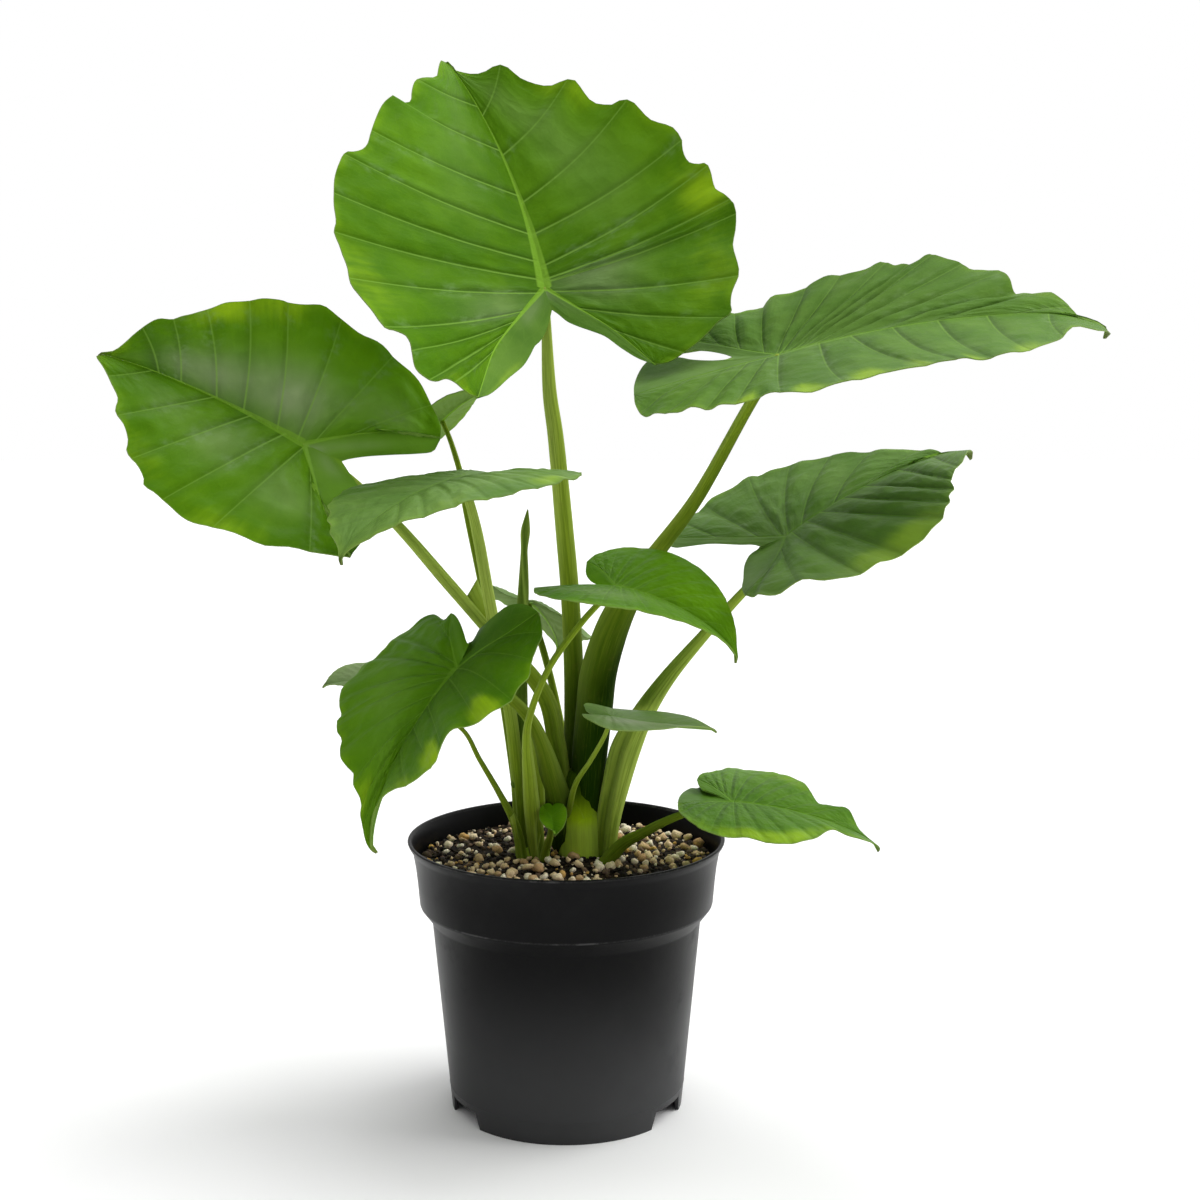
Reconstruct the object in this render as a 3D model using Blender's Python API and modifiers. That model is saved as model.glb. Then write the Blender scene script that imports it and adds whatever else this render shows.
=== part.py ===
"""Potted alocasia: a nursery pot, its potting mix, two stem bases, thirteen leaves and a rolled new leaf.

Every leaf is a petiole (stalk) and a blade. A blade is an arrow-shaped sheet: a front part round the
midrib and two lobes behind the foot, where the petiole meets it. Lengths are metres unless a name
ends in _mm; +Z is up and -Y is the front. The plant is laid out round the pot's axis and then moved
as a whole by PLANT_TO_ORIGIN, so that the middle of its overall box stands over the origin.
"""
import math

import bmesh
import bpy
import numpy as np
from mathutils import Vector, noise

# ---------------------------------------------------------------- driving dimensions
MM = 0.001
GAP = 0.0003                       # clearance kept between neighbouring parts
PLANT_TO_ORIGIN = (-0.016, 0.005, 0.0)

POT_SEGMENTS = 40
POT_FOOT_R = 0.0695                # outside radius at the floor
POT_RIM_R = 0.095                  # outside radius of the rolled lip
POT_HEIGHT = 0.163
POT_WALL = 0.0015
POT_TAPER = 0.0931                 # radius gained per metre of height on the plain wall
POT_WALL_TOP = 0.1125              # where the plain wall meets the collar
POT_BASE_Z = 0.0106                # underside of the recessed base plate
POT_BASE_T = 0.0016
NOTCH_COUNT = 3
NOTCH_WIDTH = 0.035
NOTCH_HEIGHT = 0.010
NOTCH_SLOPE = 0.0035               # how much narrower each side is at the top
DRAIN_HOLES = 6
DRAIN_RING_R = 0.045
DRAIN_R = 0.005

SOIL_EDGE_Z = 0.1515               # potting mix level at the wall
SOIL_CROWN_Z = 0.1555              # and round the stems
SOIL_LUMP = 0.0011

BLADE_T = 0.0009                   # blade thickness
TUBE_SIDES_RES = 3                 # bevel resolution of a petiole: ten flats round
PATH_STEPS_PER_POINT = 2

# A stem base: (x, y) of its axis and a profile of (radius, height) from the buried tip to the top.
STEMS_MM = {
    "stem_main": ((8.5, 2.0), [(0, 117), (6.5, 118.5), (11, 126), (13, 140), (13.3, 156),
                               (12.9, 170), (11.6, 181), (9, 186), (0, 187)]),
    "stem_left": ((-21.5, -4.5), [(0, 127), (5, 128.5), (7.6, 134), (8.2, 145), (7.8, 154),
                                  (5.5, 159.5), (0, 160.5)]),
}

# ---------------------------------------------------------------- the species' flat half leaf
# (forward, sideways) for a blade whose midrib is 1 long and starts at (0, 0), the foot.
MARGIN = [(-.52, .30), (-.47, .43), (-.34, .54), (-.14, .615), (.08, .64), (.30, .60), (.50, .495),
          (.68, .345), (.82, .20), (.92, .085), (1, 0)]
SINUS = [(-.52, .30), (-.47, .19), (-.34, .105), (-.19, .05), (-.06, 0)]
LOBE_RIB = [(-.52, .30), (-.30, .20), (-.12, .085), (0, 0)]
LOBE_ROWS = .30                    # share of the rows across a half blade that belong to the lobe
TURN = .36                         # share of the margin that belongs to the lobe
VEIN_BOW = .05


def leaf(foot, tip, face, width, lobe, bends, folds, arch, twist=0, sweep=0, spread=0, fine=True):
    """One blade. foot, tip: mm. face: the way the upper side looks at the foot.
    width, lobe: (left, right) factors on the species' shape. bends: degrees the midrib turns down
    along the front, again at the tip, and along the lobes. folds: degrees each half rises from the
    midrib at the foot and at the lobes. arch: degrees a half curls over across its width."""
    return dict(foot=foot, tip=tip, face=face, width=width, lobe=lobe, bends=bends, folds=folds,
                arch=arch, twist=twist, sweep=sweep, spread=spread, fine=fine)


LEAVES = {
    "top": leaf((-13, 38, 494), (-81, 147, 640), (.09, -.78, .62), (1.06, .97), (1.05, .83),
                (-5, 14, -2), (18, 27), -6, twist=-5, sweep=22, spread=.14),
    "left": leaf((-153, -8, 403), (-274, 4, 454), (.16, -.81, .57), (.98, .97), (.93, .94),
                 (-9, 24, 0), (19, 14), 38, twist=-19, sweep=13),
    "right_upper": leaf((120, -47, 455), (306, -36, 464), (-.03, -.22, .97), (.87, .91), (.90, .89),
                        (25, 29, 3), (-2, 1), -16, twist=9, sweep=5, spread=-.22),
    "right_middle": leaf((129, -18, 350), (245, 30, 392), (-.21, -.31, .93), (.98, 1.04), (.58, .92),
                         (12, 27, 2), (4, 18), 14, twist=-4, sweep=-22),
    "left_middle": leaf((-58, -51, 387), (-117, -120, 345), (-.31, -.29, .90), (.97, .96),
                        (1.04, 1.02), (28, 22, 25), (5, 3), 31, twist=-4, sweep=6, spread=.06),
    "front_left": leaf((-61, -57, 278), (-101, -120, 188), (-.62, -.49, .62), (1.08, 1.01),
                       (.83, .60), (15, 22, -42), (23, 14), 51, sweep=34, spread=-.10),
    "centre": leaf((29, -65, 327), (95, -94, 288), (.35, -.37, .86), (.89, .90), (.96, .97),
                   (31, 23, 26), (9, 11), 23, sweep=-22, fine=False),
    "right_low": leaf((98, -37, 196), (182, -50, 170), (.28, -.16, .95), (.92, .95), (.67, .71),
                      (22, 13, 9), (7, 10), 29, sweep=-13, spread=-.18, fine=False),
    "back_left": leaf((-79, 74, 413), (-49, 59, 430), (-.39, .25, .89), (1, 1), (1, 1),
                      (27, 19, 20), (13, 12), 33, fine=False),
    "back": leaf((-24, 60, 301), (-8, 111, 260), (.46, .47, .75), (1.02, 1.02), (1, 1),
                 (28, 19, 17), (3, 8), 47, fine=False),
    "left_low": leaf((-112, 8, 260), (-146, 0, 257), (-.03, -.25, .97), (1, 1), (1, 1),
                     (14, 15, 10), (13, 12), 34, fine=False),
    "narrow": leaf((27, -57, 251), (87, -58, 242), (.15, .04, .99), (.97, .97), (.52, .53),
                   (-8, 6, 19), (7, 11), 30, fine=False),
    "tiny": leaf((-8, -29, 185), (-6, -41, 179), (-.08, -.47, .88), (1, 1), (1.05, 1.05),
                 (0, 17, 11), (14, 21), 30, fine=False),
}

# A petiole's way up, as (x, y, z, radius) in mm from its base; the blade's foot ends it.
PETIOLES_MM = {
    "right_upper": [(12, 1, 183, 9.4), (14, -1, 213, 10.3), (17, -1, 243, 10.8), (20, -3, 268, 10.7),
                    (29, -6, 297, 9.8), (41, -10, 320, 7.7), (52, -15, 338, 5.6), (78, -26, 374, 4.5),
                    (108, -40, 427, 3.6)],
    "top": [(3, 11, 183, 4.9), (4, 13, 210, 5.2), (4, 13, 259, 5.4), (2, 13, 308, 5.4),
            (-1, 16, 350, 5.4), (-6, 22, 403, 4.8), (-10, 27, 433, 4.2), (-12, 34, 473, 2.9)],
    "left": [(0, 2, 183, 4), (-6, -1, 228, 4.2), (-15, -4, 259, 4.2), (-50, -7, 298, 3.8),
             (-71, -9, 323, 3.7), (-97, -11, 353, 3.2), (-126, -10, 381, 2.6)],
    "right_middle": [(23, -4, 148, 5), (27, -5, 177, 5.5), (31, -7, 199, 6.9), (37, -10, 224, 8.4),
                     (47, -11, 245, 6.5), (61, -12, 266, 4.7), (79, -14, 288, 3.5),
                     (99, -16, 311, 2.8), (117, -18, 331, 2.5)],
    "left_middle": [(-26, -3, 150, 4), (-28, -6, 189, 3.9), (-31, -10, 227, 3.9), (-35, -14, 258, 3.7),
                    (-44, -26, 313, 3.5), (-49, -38, 349, 3.2), (-53, -46, 370, 2.7)],
    "front_left": [(4, -9, 166, 5.4), (1, -12, 184, 5.4), (-5, -18, 208, 5.1), (-12, -26, 227, 4.4),
                   (-20, -34, 244, 3.8), (-32, -42, 259, 3.2), (-45, -50, 269, 2.6)],
    "centre": [(-19, -9, 153, 3.3), (-22, -14, 179, 3.6), (-23, -29, 210, 3.3), (-22, -44, 238, 2.6),
               (-18, -51, 256, 2.4), (-11, -56, 274, 2.3), (-3, -59, 288, 2.3), (12, -62, 308, 2.1),
               (24, -65, 321, 1.7)],
    "left_low": [(-26, -12, 152, 3.3), (-30, -13, 175, 2.7), (-39, -16, 195, 1.9), (-51, -18, 217, 1.5),
                 (-61, -18, 235, 1.3), (-82, -9, 245, 1.2), (-102, 2, 250, 1.2)],
    "narrow": [(4, -10, 182, 1.8), (7, -20, 202, 1.5), (16, -32, 219, 1.4), (23, -45, 236, 1.3)],
    "right_low": [(19, -17, 148, 4.5), (33, -19, 165, 3.9), (47, -22, 174, 3), (59, -28, 182, 2.5),
                  (73, -33, 189, 2.1), (86, -36, 193, 1.8)],
    "tiny": [(-14, -15, 149, 3.1), (-12, -19, 162, 2.7), (-9, -25, 173, 2)],
    "back_left": [(-26, 6, 150, 2.2), (-32, 12, 197, 2.1), (-39, 18, 246, 2.1), (-49, 28, 300, 2),
                  (-62, 44, 359, 1.8), (-65, 52, 378, 1.9), (-72, 64, 399, 1.6)],
    "back": [(4, 12, 172, 2.5), (0, 20, 208, 2.5), (-7, 32, 243, 2.3), (-15, 46, 272, 2.2)],
}
SPEAR_MM = [(-31, -6, 218, 2.2), (-29, -1, 242, 2.7), (-28, 5, 270, 2.7), (-27, 6, 295, 2.7),
            (-26, 6, 320, 2.7), (-25, 6, 340, 2.6), (-24, 6, 353, 1.8), (-24, 6, 361, .5)]
# Parts whose bases crowd together: each is trimmed clear of the ones named for it.
TRIMMED_BY = {
    "right_upper": ["stem_main"],
    "top": ["stem_main", "right_upper"],
    "left": ["stem_main", "right_upper", "top"],
    "right_middle": ["stem_main"],
    "left_middle": ["stem_left"],
    "front_left": ["stem_main", "left"],
    "centre": ["stem_left", "left_middle"],
    "left_low": ["stem_left", "left_middle"],
    "narrow": ["stem_main", "right_upper", "front_left"],
    "right_low": ["stem_main", "right_middle"],
    "tiny": ["stem_left", "centre"],
    "back_left": ["stem_left", "left_middle"],
    "back": ["stem_main", "top"],
    "spear": ["left_middle"],
}
SOIL_TRIMMED_BY = ["stem_main", "stem_left", "right_middle", "right_low", "tiny", "left_middle",
                   "centre", "left_low", "back_left"]

COLOURS = {"pot": (.03, .031, .033), "soil": (.055, .035, .022), "stem": (.16, .30, .035),
           "petiole": (.12, .24, .03), "blade": (.07, .24, .02), "spear": (.06, .17, .03)}


# ---------------------------------------------------------------- scene helpers
def clear_scene():
    for obj in list(bpy.data.objects):
        bpy.data.objects.remove(obj, do_unlink=True)


def new_collection(name):
    group = bpy.data.collections.new(name)
    bpy.context.scene.collection.children.link(group)
    return group


def material_for(name):
    kind = next((k for k in COLOURS if name.startswith(k)), "petiole")
    mat = bpy.data.materials.new(name)
    mat.use_nodes = True
    shader = mat.node_tree.nodes["Principled BSDF"]
    shader.inputs["Base Color"].default_value = (*COLOURS[kind], 1)
    shader.inputs["Roughness"].default_value = .9 if kind == "soil" else .45
    mat.diffuse_color = (*COLOURS[kind], 1)
    return mat


def object_from(mesh, name, group):
    obj = bpy.data.objects.new(name, mesh)
    group.objects.link(obj)
    if group is PARTS:
        obj.data.materials.clear()
        obj.data.materials.append(material_for(name))
    else:
        obj.hide_render = True
        obj.display_type = "WIRE"
    return obj


def bake(obj):
    """Replace an object's mesh by what its modifiers make of it."""
    graph = bpy.context.evaluated_depsgraph_get()
    made = bpy.data.meshes.new_from_object(obj.evaluated_get(graph))
    obj.modifiers.clear()
    obj.data = made
    return obj


def clean(mesh, distance=.00002):
    bm = bmesh.new()
    bm.from_mesh(mesh)
    bmesh.ops.remove_doubles(bm, verts=bm.verts, dist=distance)
    bmesh.ops.dissolve_degenerate(bm, edges=bm.edges, dist=.00001)
    bmesh.ops.recalc_face_normals(bm, faces=bm.faces)
    bm.to_mesh(mesh)
    bm.free()


def cut(obj, cutter):
    hole = obj.modifiers.new("cut", "BOOLEAN")
    hole.operation = "DIFFERENCE"
    hole.solver = "EXACT"
    hole.object = cutter


def keep_largest(obj):
    """Drop the small offcuts that a trim can leave loose."""
    bm = bmesh.new()
    bm.from_mesh(obj.data)
    left = set(bm.verts)
    islands = []
    while left:
        stack = [left.pop()]
        island = set(stack)
        while stack:
            for edge in stack.pop().link_edges:
                for vert in edge.verts:
                    if vert in left:
                        left.discard(vert)
                        island.add(vert)
                        stack.append(vert)
        islands.append(island)
    islands.sort(key=len)
    for island in islands[:-1]:
        bmesh.ops.delete(bm, geom=list(island), context="VERTS")
    bm.to_mesh(obj.data)
    bm.free()


# ---------------------------------------------------------------- turned parts
def turned(name, profile, group, segments, at=(0, 0)):
    """Turn a closed (radius, height) profile round a vertical axis."""
    mesh = bpy.data.meshes.new(name)
    verts = [(r + 0.0, 0.0, z) for r, z in profile]
    edges = [(i, i + 1) for i in range(len(verts) - 1)]
    mesh.from_pydata(verts, edges, [])
    obj = object_from(mesh, name, group)
    screw = obj.modifiers.new("turn", "SCREW")
    screw.steps = segments
    screw.render_steps = segments
    screw.use_merge_vertices = True
    screw.merge_threshold = .00002
    bake(obj)
    clean(obj.data)
    for vert in obj.data.vertices:
        vert.co.x += at[0]
        vert.co.y += at[1]
    return obj


def wall_radius(z):
    return POT_FOOT_R + POT_TAPER * z


def collar():
    """Outside of the collar, from the step on the wall up to the lip."""
    step_r = wall_radius(POT_WALL_TOP)
    return [(step_r, POT_WALL_TOP), (step_r + .0052, POT_WALL_TOP + .0062),
            (step_r + .0070, POT_WALL_TOP + .0125), (step_r + .0079, POT_WALL_TOP + .0250),
            (step_r + .0088, POT_WALL_TOP + .0312), (step_r + .0104, POT_WALL_TOP + .0430)]


def pot_profile():
    lip = [(POT_RIM_R - .0006, POT_HEIGHT - .0052), (POT_RIM_R, POT_HEIGHT - .0030),
           (POT_RIM_R - .0006, POT_HEIGHT - .0007), (POT_RIM_R - .0022, POT_HEIGHT),
           (POT_RIM_R - .0040, POT_HEIGHT - .0008), (POT_RIM_R - .0050, POT_HEIGHT - .0030)]
    inside = [(r - POT_WALL, z + .0004) for r, z in reversed(collar())]
    top = POT_BASE_Z + POT_BASE_T
    foot_in = POT_FOOT_R - POT_WALL - .0005
    return ([(0, POT_BASE_Z), (foot_in - .001, POT_BASE_Z), (foot_in, POT_BASE_Z - .001), (foot_in, 0),
             (POT_FOOT_R, 0), (wall_radius(.014), .014), (wall_radius(.060), .060)]
            + collar() + lip + inside
            + [(wall_radius(.060) - POT_WALL, .060), (wall_radius(top) - POT_WALL, top), (0, top)])


def notch_cutter(index):
    """A wedge through the foot ring, wider at the floor than at its top."""
    turn = -math.pi / 2 + math.pi / 3 + 2 * math.pi * index / NOTCH_COUNT
    low = NOTCH_WIDTH / 2
    high = low - NOTCH_SLOPE
    inner = POT_FOOT_R - .008
    outer = POT_FOOT_R + .006
    corners = []
    for radius in (inner, outer):
        corners += [(radius, -low, -.002), (radius, low, -.002),
                    (radius, high, NOTCH_HEIGHT), (radius, -high, NOTCH_HEIGHT)]
    mesh = bpy.data.meshes.new("notch")
    mesh.from_pydata(corners, [], [(0, 1, 2, 3), (4, 7, 6, 5), (0, 4, 5, 1), (1, 5, 6, 2),
                                   (2, 6, 7, 3), (3, 7, 4, 0)])
    clean(mesh)
    for vert in mesh.vertices:
        x, y = vert.co.x, vert.co.y
        vert.co.x = x * math.cos(turn) - y * math.sin(turn)
        vert.co.y = x * math.sin(turn) + y * math.cos(turn)
    return object_from(mesh, "cut_notch_%d" % index, CUTTERS)


def drain_cutter(index):
    turn = 2 * math.pi * (index + .5) / DRAIN_HOLES
    at = (DRAIN_RING_R * math.cos(turn), DRAIN_RING_R * math.sin(turn))
    profile = [(0, POT_BASE_Z - .002), (DRAIN_R, POT_BASE_Z - .002),
               (DRAIN_R, POT_BASE_Z + POT_BASE_T + .002), (0, POT_BASE_Z + POT_BASE_T + .002)]
    return turned("cut_drain_%d" % index, profile, CUTTERS, 16, at)


def make_pot():
    pot = turned("pot", pot_profile(), PARTS, POT_SEGMENTS)
    for index in range(NOTCH_COUNT):
        cut(pot, notch_cutter(index))
    for index in range(DRAIN_HOLES):
        cut(pot, drain_cutter(index))
    bake(pot)
    clean(pot.data)
    return pot


def make_soil(cutters):
    """The potting mix fills the pot from its base plate to a lumpy top."""
    clear = POT_WALL + GAP * 1.6
    bottom = POT_BASE_Z + POT_BASE_T + GAP
    side = [(wall_radius(bottom) - clear, bottom), (wall_radius(.060) - clear, .060)]
    side += [(r - clear, z + .0004) for r, z in collar() if z < SOIL_EDGE_Z]
    side.append((collar()[-2][0] - clear + .0009, SOIL_EDGE_Z - .0012))
    rings = [.0865, .076, .062, .047, .032, .016, 0]
    top = [(r, SOIL_EDGE_Z + (SOIL_CROWN_Z - SOIL_EDGE_Z) * (1 - r / .0865)) for r in rings]
    soil = turned("soil", [(0, bottom)] + side + top, PARTS, 40)
    for vert in soil.data.vertices:
        radius = math.hypot(vert.co.x, vert.co.y)
        if vert.co.z > SOIL_EDGE_Z - .0006 and radius < .083:
            vert.co.z += SOIL_LUMP * noise.noise(vert.co * 70)
    for cutter in cutters:
        cut(soil, cutter)
    bake(soil)
    clean(soil.data)
    keep_largest(soil)
    return soil


def make_stem(name, group, extra=0.0):
    axis, profile = STEMS_MM[name]
    grown = [(r * MM + (extra if r else 0), z * MM) for r, z in profile]
    grown[0] = (0, grown[0][1] - extra)
    grown[1] = (grown[1][0], grown[1][1] - extra)
    grown[-2] = (grown[-2][0], grown[-2][1] + extra)
    grown[-1] = (0, grown[-1][1] + extra)
    return turned(name if group is PARTS else "cut_" + name, grown, group, 28,
                  (axis[0] * MM, axis[1] * MM))


# ---------------------------------------------------------------- smooth lines
def run_line(points, count):
    """A smooth line through the points, as count points evenly spaced along it."""
    p = np.array(points, float)
    p = np.vstack([2 * p[0] - p[1], p, 2 * p[-1] - p[-2]])
    t = np.linspace(0, 1, 24, endpoint=False)[:, None]
    runs = []
    for a, b, c, d in zip(p[:-3], p[1:-2], p[2:-1], p[3:]):
        runs.append(.5 * (2 * b + (c - a) * t + (2 * a - 5 * b + 4 * c - d) * t * t
                          + (3 * b - a - 3 * c + d) * t ** 3))
    line = np.vstack(runs + [p[-2][None]])
    steps = np.linalg.norm(np.diff(line[:, :3], axis=0), axis=1)
    along = np.concatenate([[0], np.cumsum(steps)])
    at = np.linspace(0, along[-1], count)
    return np.stack([np.interp(at, along, column) for column in line.T], 1)


# ---------------------------------------------------------------- blades
def fitted(points, blade, side):
    """The species' line, widened and lengthened for one half of one blade."""
    p = np.array(points, float)
    half = 0 if side > 0 else 1
    behind = p[:, 0] < 0
    p[:, 1] *= blade["width"][half]
    p[behind, 0] *= blade["lobe"][half]
    off_axis = behind & (p[:, 1] > 0)
    p[off_axis, 1] -= p[off_axis, 0] * blade["spread"]
    return p


def flat_half(blade, side, rows, columns, strip_columns):
    """Points of a flat half blade: from midrib and lobe rib out to the margin, and the strip
    between the lobe rib and the edge of the notch behind the foot."""
    lobe_rows = int(round(LOBE_ROWS * (rows - 1)))
    margin = run_line(fitted(MARGIN, blade, side), 400)
    share = np.concatenate([np.linspace(0, TURN, lobe_rows + 1),
                            TURN + (1 - TURN) * np.linspace(0, 1, rows - lobe_rows)[1:]])
    outer = np.stack([np.interp(share, np.linspace(0, 1, 400), c) for c in margin.T], 1)
    rib = run_line(fitted(LOBE_RIB, blade, side), lobe_rows + 1)
    midrib = np.stack([np.linspace(0, 1, rows - lobe_rows), np.zeros(rows - lobe_rows)], 1)
    inner = np.vstack([rib, midrib[1:]])
    v = np.linspace(0, 1, columns)
    main = inner[:, None] + (outer - inner)[:, None] * v[None, :, None]
    reach = np.linalg.norm(outer - inner, axis=1)[:, None]
    main[:, :, 0] -= VEIN_BOW * np.sin(math.pi * v) * reach * np.linspace(.3, 1, rows)[:, None]
    notch = run_line(fitted(SINUS, blade, side), lobe_rows + 1)
    w = np.linspace(0, 1, strip_columns)
    strip = rib[:, None] + (notch - rib)[:, None] * w[None, :, None]
    return main, strip


def bent(blade, flat, side):
    """Bend flat points into the blade's own space: x along the midrib, y to its left, z up."""
    s, t = flat[..., 0], flat[..., 1]
    front, tip, back = np.radians(blade["bends"])

    def pitch(at):
        hooked = tip * np.clip((at - .65) / .35, 0, 2) ** 2
        return np.where(at >= 0, front * at + hooked, back * at)

    x, z = np.zeros_like(s), np.zeros_like(s)
    for i in range(40):
        angle = pitch(s * (i + .5) / 40)
        x += np.cos(angle) * s / 40
        z -= np.sin(angle) * s / 40
    foot_fold, lobe_fold = blade["folds"]
    fold = np.where(s < 0, foot_fold + (lobe_fold - foot_fold) * np.clip(-s / .4, 0, 1),
                    foot_fold + 10 * np.clip(s, 0, 1))
    out, rise = np.zeros_like(t), np.zeros_like(t)
    for i in range(24):
        angle = np.radians(fold - blade["arch"] * t * (i + .5) / 24)
        out += np.cos(angle) * t / 24
        rise += np.sin(angle) * t / 24
    angle = pitch(s)
    lean = .5 * math.radians(blade["sweep"]) * s * np.abs(s) * np.where(s >= 0, 1, .4)
    x, y, z = x + np.sin(angle) * rise, side * out + lean, z + np.cos(angle) * rise
    roll = math.radians(blade["twist"]) * np.clip(s, -1, 1)
    return np.stack([x, y * np.cos(roll) - z * np.sin(roll), z * np.cos(roll) + y * np.sin(roll)], -1)


def unit(v):
    return v / np.linalg.norm(v)


def blade_axes(blade):
    """Size of the blade and the turn that lays its bent midrib from the foot to the tip."""
    tip = bent(blade, np.array([[1.0, 0.0]]), 1)[0]
    chord = (np.array(blade["tip"]) - np.array(blade["foot"])) * MM
    ahead = unit(chord)
    face = np.array(blade["face"])
    up = unit(face - ahead * (face @ ahead))
    own_ahead = unit(tip)
    own_up = unit(np.array([0, 0, 1.0]) - own_ahead * own_ahead[2])
    turn = (np.outer(ahead, own_ahead) + np.outer(np.cross(up, ahead), np.cross(own_up, own_ahead))
            + np.outer(up, own_up))
    return np.linalg.norm(chord) / np.linalg.norm(tip), turn


def blade_points(blade, flat, side):
    size, turn = blade_axes(blade)
    return np.array(blade["foot"]) * MM + size * (bent(blade, flat, side) @ turn.T)


def grid_faces(rows, columns, first, flip):
    faces = []
    for i in range(rows - 1):
        for j in range(columns - 1):
            a = first + i * columns + j
            quad = (a, a + 1, a + columns + 1, a + columns)
            faces.append(quad[::-1] if flip else quad)
    return faces


def make_blade(name):
    """A thin closed sheet: both halves as point grids, sewn together and given thickness."""
    blade = LEAVES[name]
    rows, columns, strip_columns = (17, 5, 2) if blade["fine"] else (11, 4, 2)
    verts, faces = [], []
    for side in (1, -1):
        main, strip = flat_half(blade, side, rows, columns, strip_columns)
        for flat, flip in ((main, side > 0), (strip, side < 0)):
            faces += grid_faces(flat.shape[0], flat.shape[1], len(verts), flip)
            verts += [tuple(p) for p in blade_points(blade, flat, side).reshape(-1, 3)]
    mesh = bpy.data.meshes.new("blade_" + name)
    mesh.from_pydata(verts, [], faces)
    clean(mesh, .00005)
    face_up(mesh, blade)
    obj = object_from(mesh, "blade_" + name, PARTS)
    sheet = obj.modifiers.new("thickness", "SOLIDIFY")
    sheet.thickness = BLADE_T
    sheet.offset = -1
    bake(obj)
    clean(obj.data)
    return obj


def face_up(mesh, blade):
    """Turn every face so that the sheet's front is the blade's upper side."""
    size, turn = blade_axes(blade)
    up = Vector(turn @ np.array([0, 0, 1.0]))
    total = sum((face.normal * face.area for face in mesh.polygons), Vector())
    if total.dot(up) < 0:
        mesh.flip_normals()


# ---------------------------------------------------------------- petioles
def tube(name, points, group, extra=0.0):
    """A round stalk through (x, y, z, radius) points in mm, with closed ends."""
    line = run_line(points, PATH_STEPS_PER_POINT * len(points)) * MM
    line[0, :3] += unit(line[0, :3] - line[1, :3]) * extra
    line[-1, :3] += unit(line[-1, :3] - line[-2, :3]) * extra
    curve = bpy.data.curves.new(name, "CURVE")
    curve.dimensions = "3D"
    curve.bevel_depth = 1.0
    curve.bevel_resolution = TUBE_SIDES_RES
    curve.use_fill_caps = True
    curve.twist_mode = "MINIMUM"
    spline = curve.splines.new("POLY")
    spline.points.add(len(line) - 1)
    for point, (x, y, z, radius) in zip(spline.points, line):
        point.co = (x, y, z, 1)
        point.radius = radius + extra
    scratch = bpy.data.objects.new(name, curve)
    group.objects.link(scratch)
    graph = bpy.context.evaluated_depsgraph_get()
    mesh = bpy.data.meshes.new_from_object(scratch.evaluated_get(graph))
    bpy.data.objects.remove(scratch, do_unlink=True)
    clean(mesh)
    return object_from(mesh, name, group)


def petiole_path(name):
    if name == "spear":
        return SPEAR_MM
    path = PETIOLES_MM[name]
    return path + [(*LEAVES[name]["foot"], path[-1][3])]


def trim_below_blade(obj, name):
    """End a petiole just under the blade it carries."""
    blade = LEAVES[name]
    size, turn = blade_axes(blade)
    up = Vector(turn @ np.array([0, 0, 1.0]))
    place = Vector(blade["foot"]) * MM - up * (BLADE_T + GAP)
    bm = bmesh.new()
    bm.from_mesh(obj.data)
    bmesh.ops.bisect_plane(bm, geom=bm.verts[:] + bm.edges[:] + bm.faces[:], plane_co=place,
                           plane_no=up, clear_outer=True)
    rim = [edge for edge in bm.edges if edge.is_boundary]
    bmesh.ops.edgeloop_fill(bm, edges=rim)
    bmesh.ops.recalc_face_normals(bm, faces=bm.faces)
    bm.to_mesh(obj.data)
    bm.free()


def make_stalk(name):
    label = name if name == "spear" else "petiole_" + name
    obj = tube(label, petiole_path(name), PARTS)
    if name != "spear":
        trim_below_blade(obj, name)
    for other in TRIMMED_BY[name]:
        cut(obj, CUTTER_OF[other])
    bake(obj)
    clean(obj.data)
    keep_largest(obj)
    return obj


def move_all():
    """Bring the middle of the whole plant's box over the origin, and print that box."""
    shift = Vector(PLANT_TO_ORIGIN)
    low, high = Vector((9, 9, 9)), Vector((-9, -9, -9))
    for obj in list(PARTS.objects) + list(CUTTERS.objects):
        for vert in obj.data.vertices:
            vert.co += shift
    for obj in PARTS.objects:
        for vert in obj.data.vertices:
            low = Vector(map(min, low, vert.co))
            high = Vector(map(max, high, vert.co))
    print("box", [round(v * 1000, 2) for v in low], [round(v * 1000, 2) for v in high],
          "middle", [round(v * 500, 2) for v in low + high])


# ---------------------------------------------------------------- build
clear_scene()
PARTS = new_collection("potted_alocasia")
CUTTERS = new_collection("cutters")
CUTTER_OF = {stem: make_stem(stem, CUTTERS, GAP) for stem in STEMS_MM}
NEEDED = sorted({n for names in TRIMMED_BY.values() for n in names} | set(SOIL_TRIMMED_BY))
for stalk in NEEDED:
    if stalk not in CUTTER_OF:
        CUTTER_OF[stalk] = tube("cut_" + stalk, petiole_path(stalk), CUTTERS, GAP * 1.1)
make_pot()
make_soil([CUTTER_OF[n] for n in SOIL_TRIMMED_BY])
for stem in STEMS_MM:
    make_stem(stem, PARTS)
for stalk in list(PETIOLES_MM) + ["spear"]:
    make_stalk(stalk)
for blade_name in LEAVES:
    make_blade(blade_name)
move_all()
for part in PARTS.objects:
    faces_made = sum(len(f.vertices) - 2 for f in part.data.polygons)
    print(part.name, faces_made, "triangles")
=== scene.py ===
# %% [markdown]
# # A potted alocasia
# The real plant is a clump of arrow-shaped leaves on upright stalks in a black nursery pot topped
# with pumice grit. The measured frame already gives every part's place, as plain solids. Here each
# solid is replaced by a finer piece in the same place: blades with veins and wavy margins, stalks
# with sheaths, a rolled pot lip and loose grit. First the frame is loaded and its box kept.

import math

import bpy
import numpy as np
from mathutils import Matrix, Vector, noise


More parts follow.
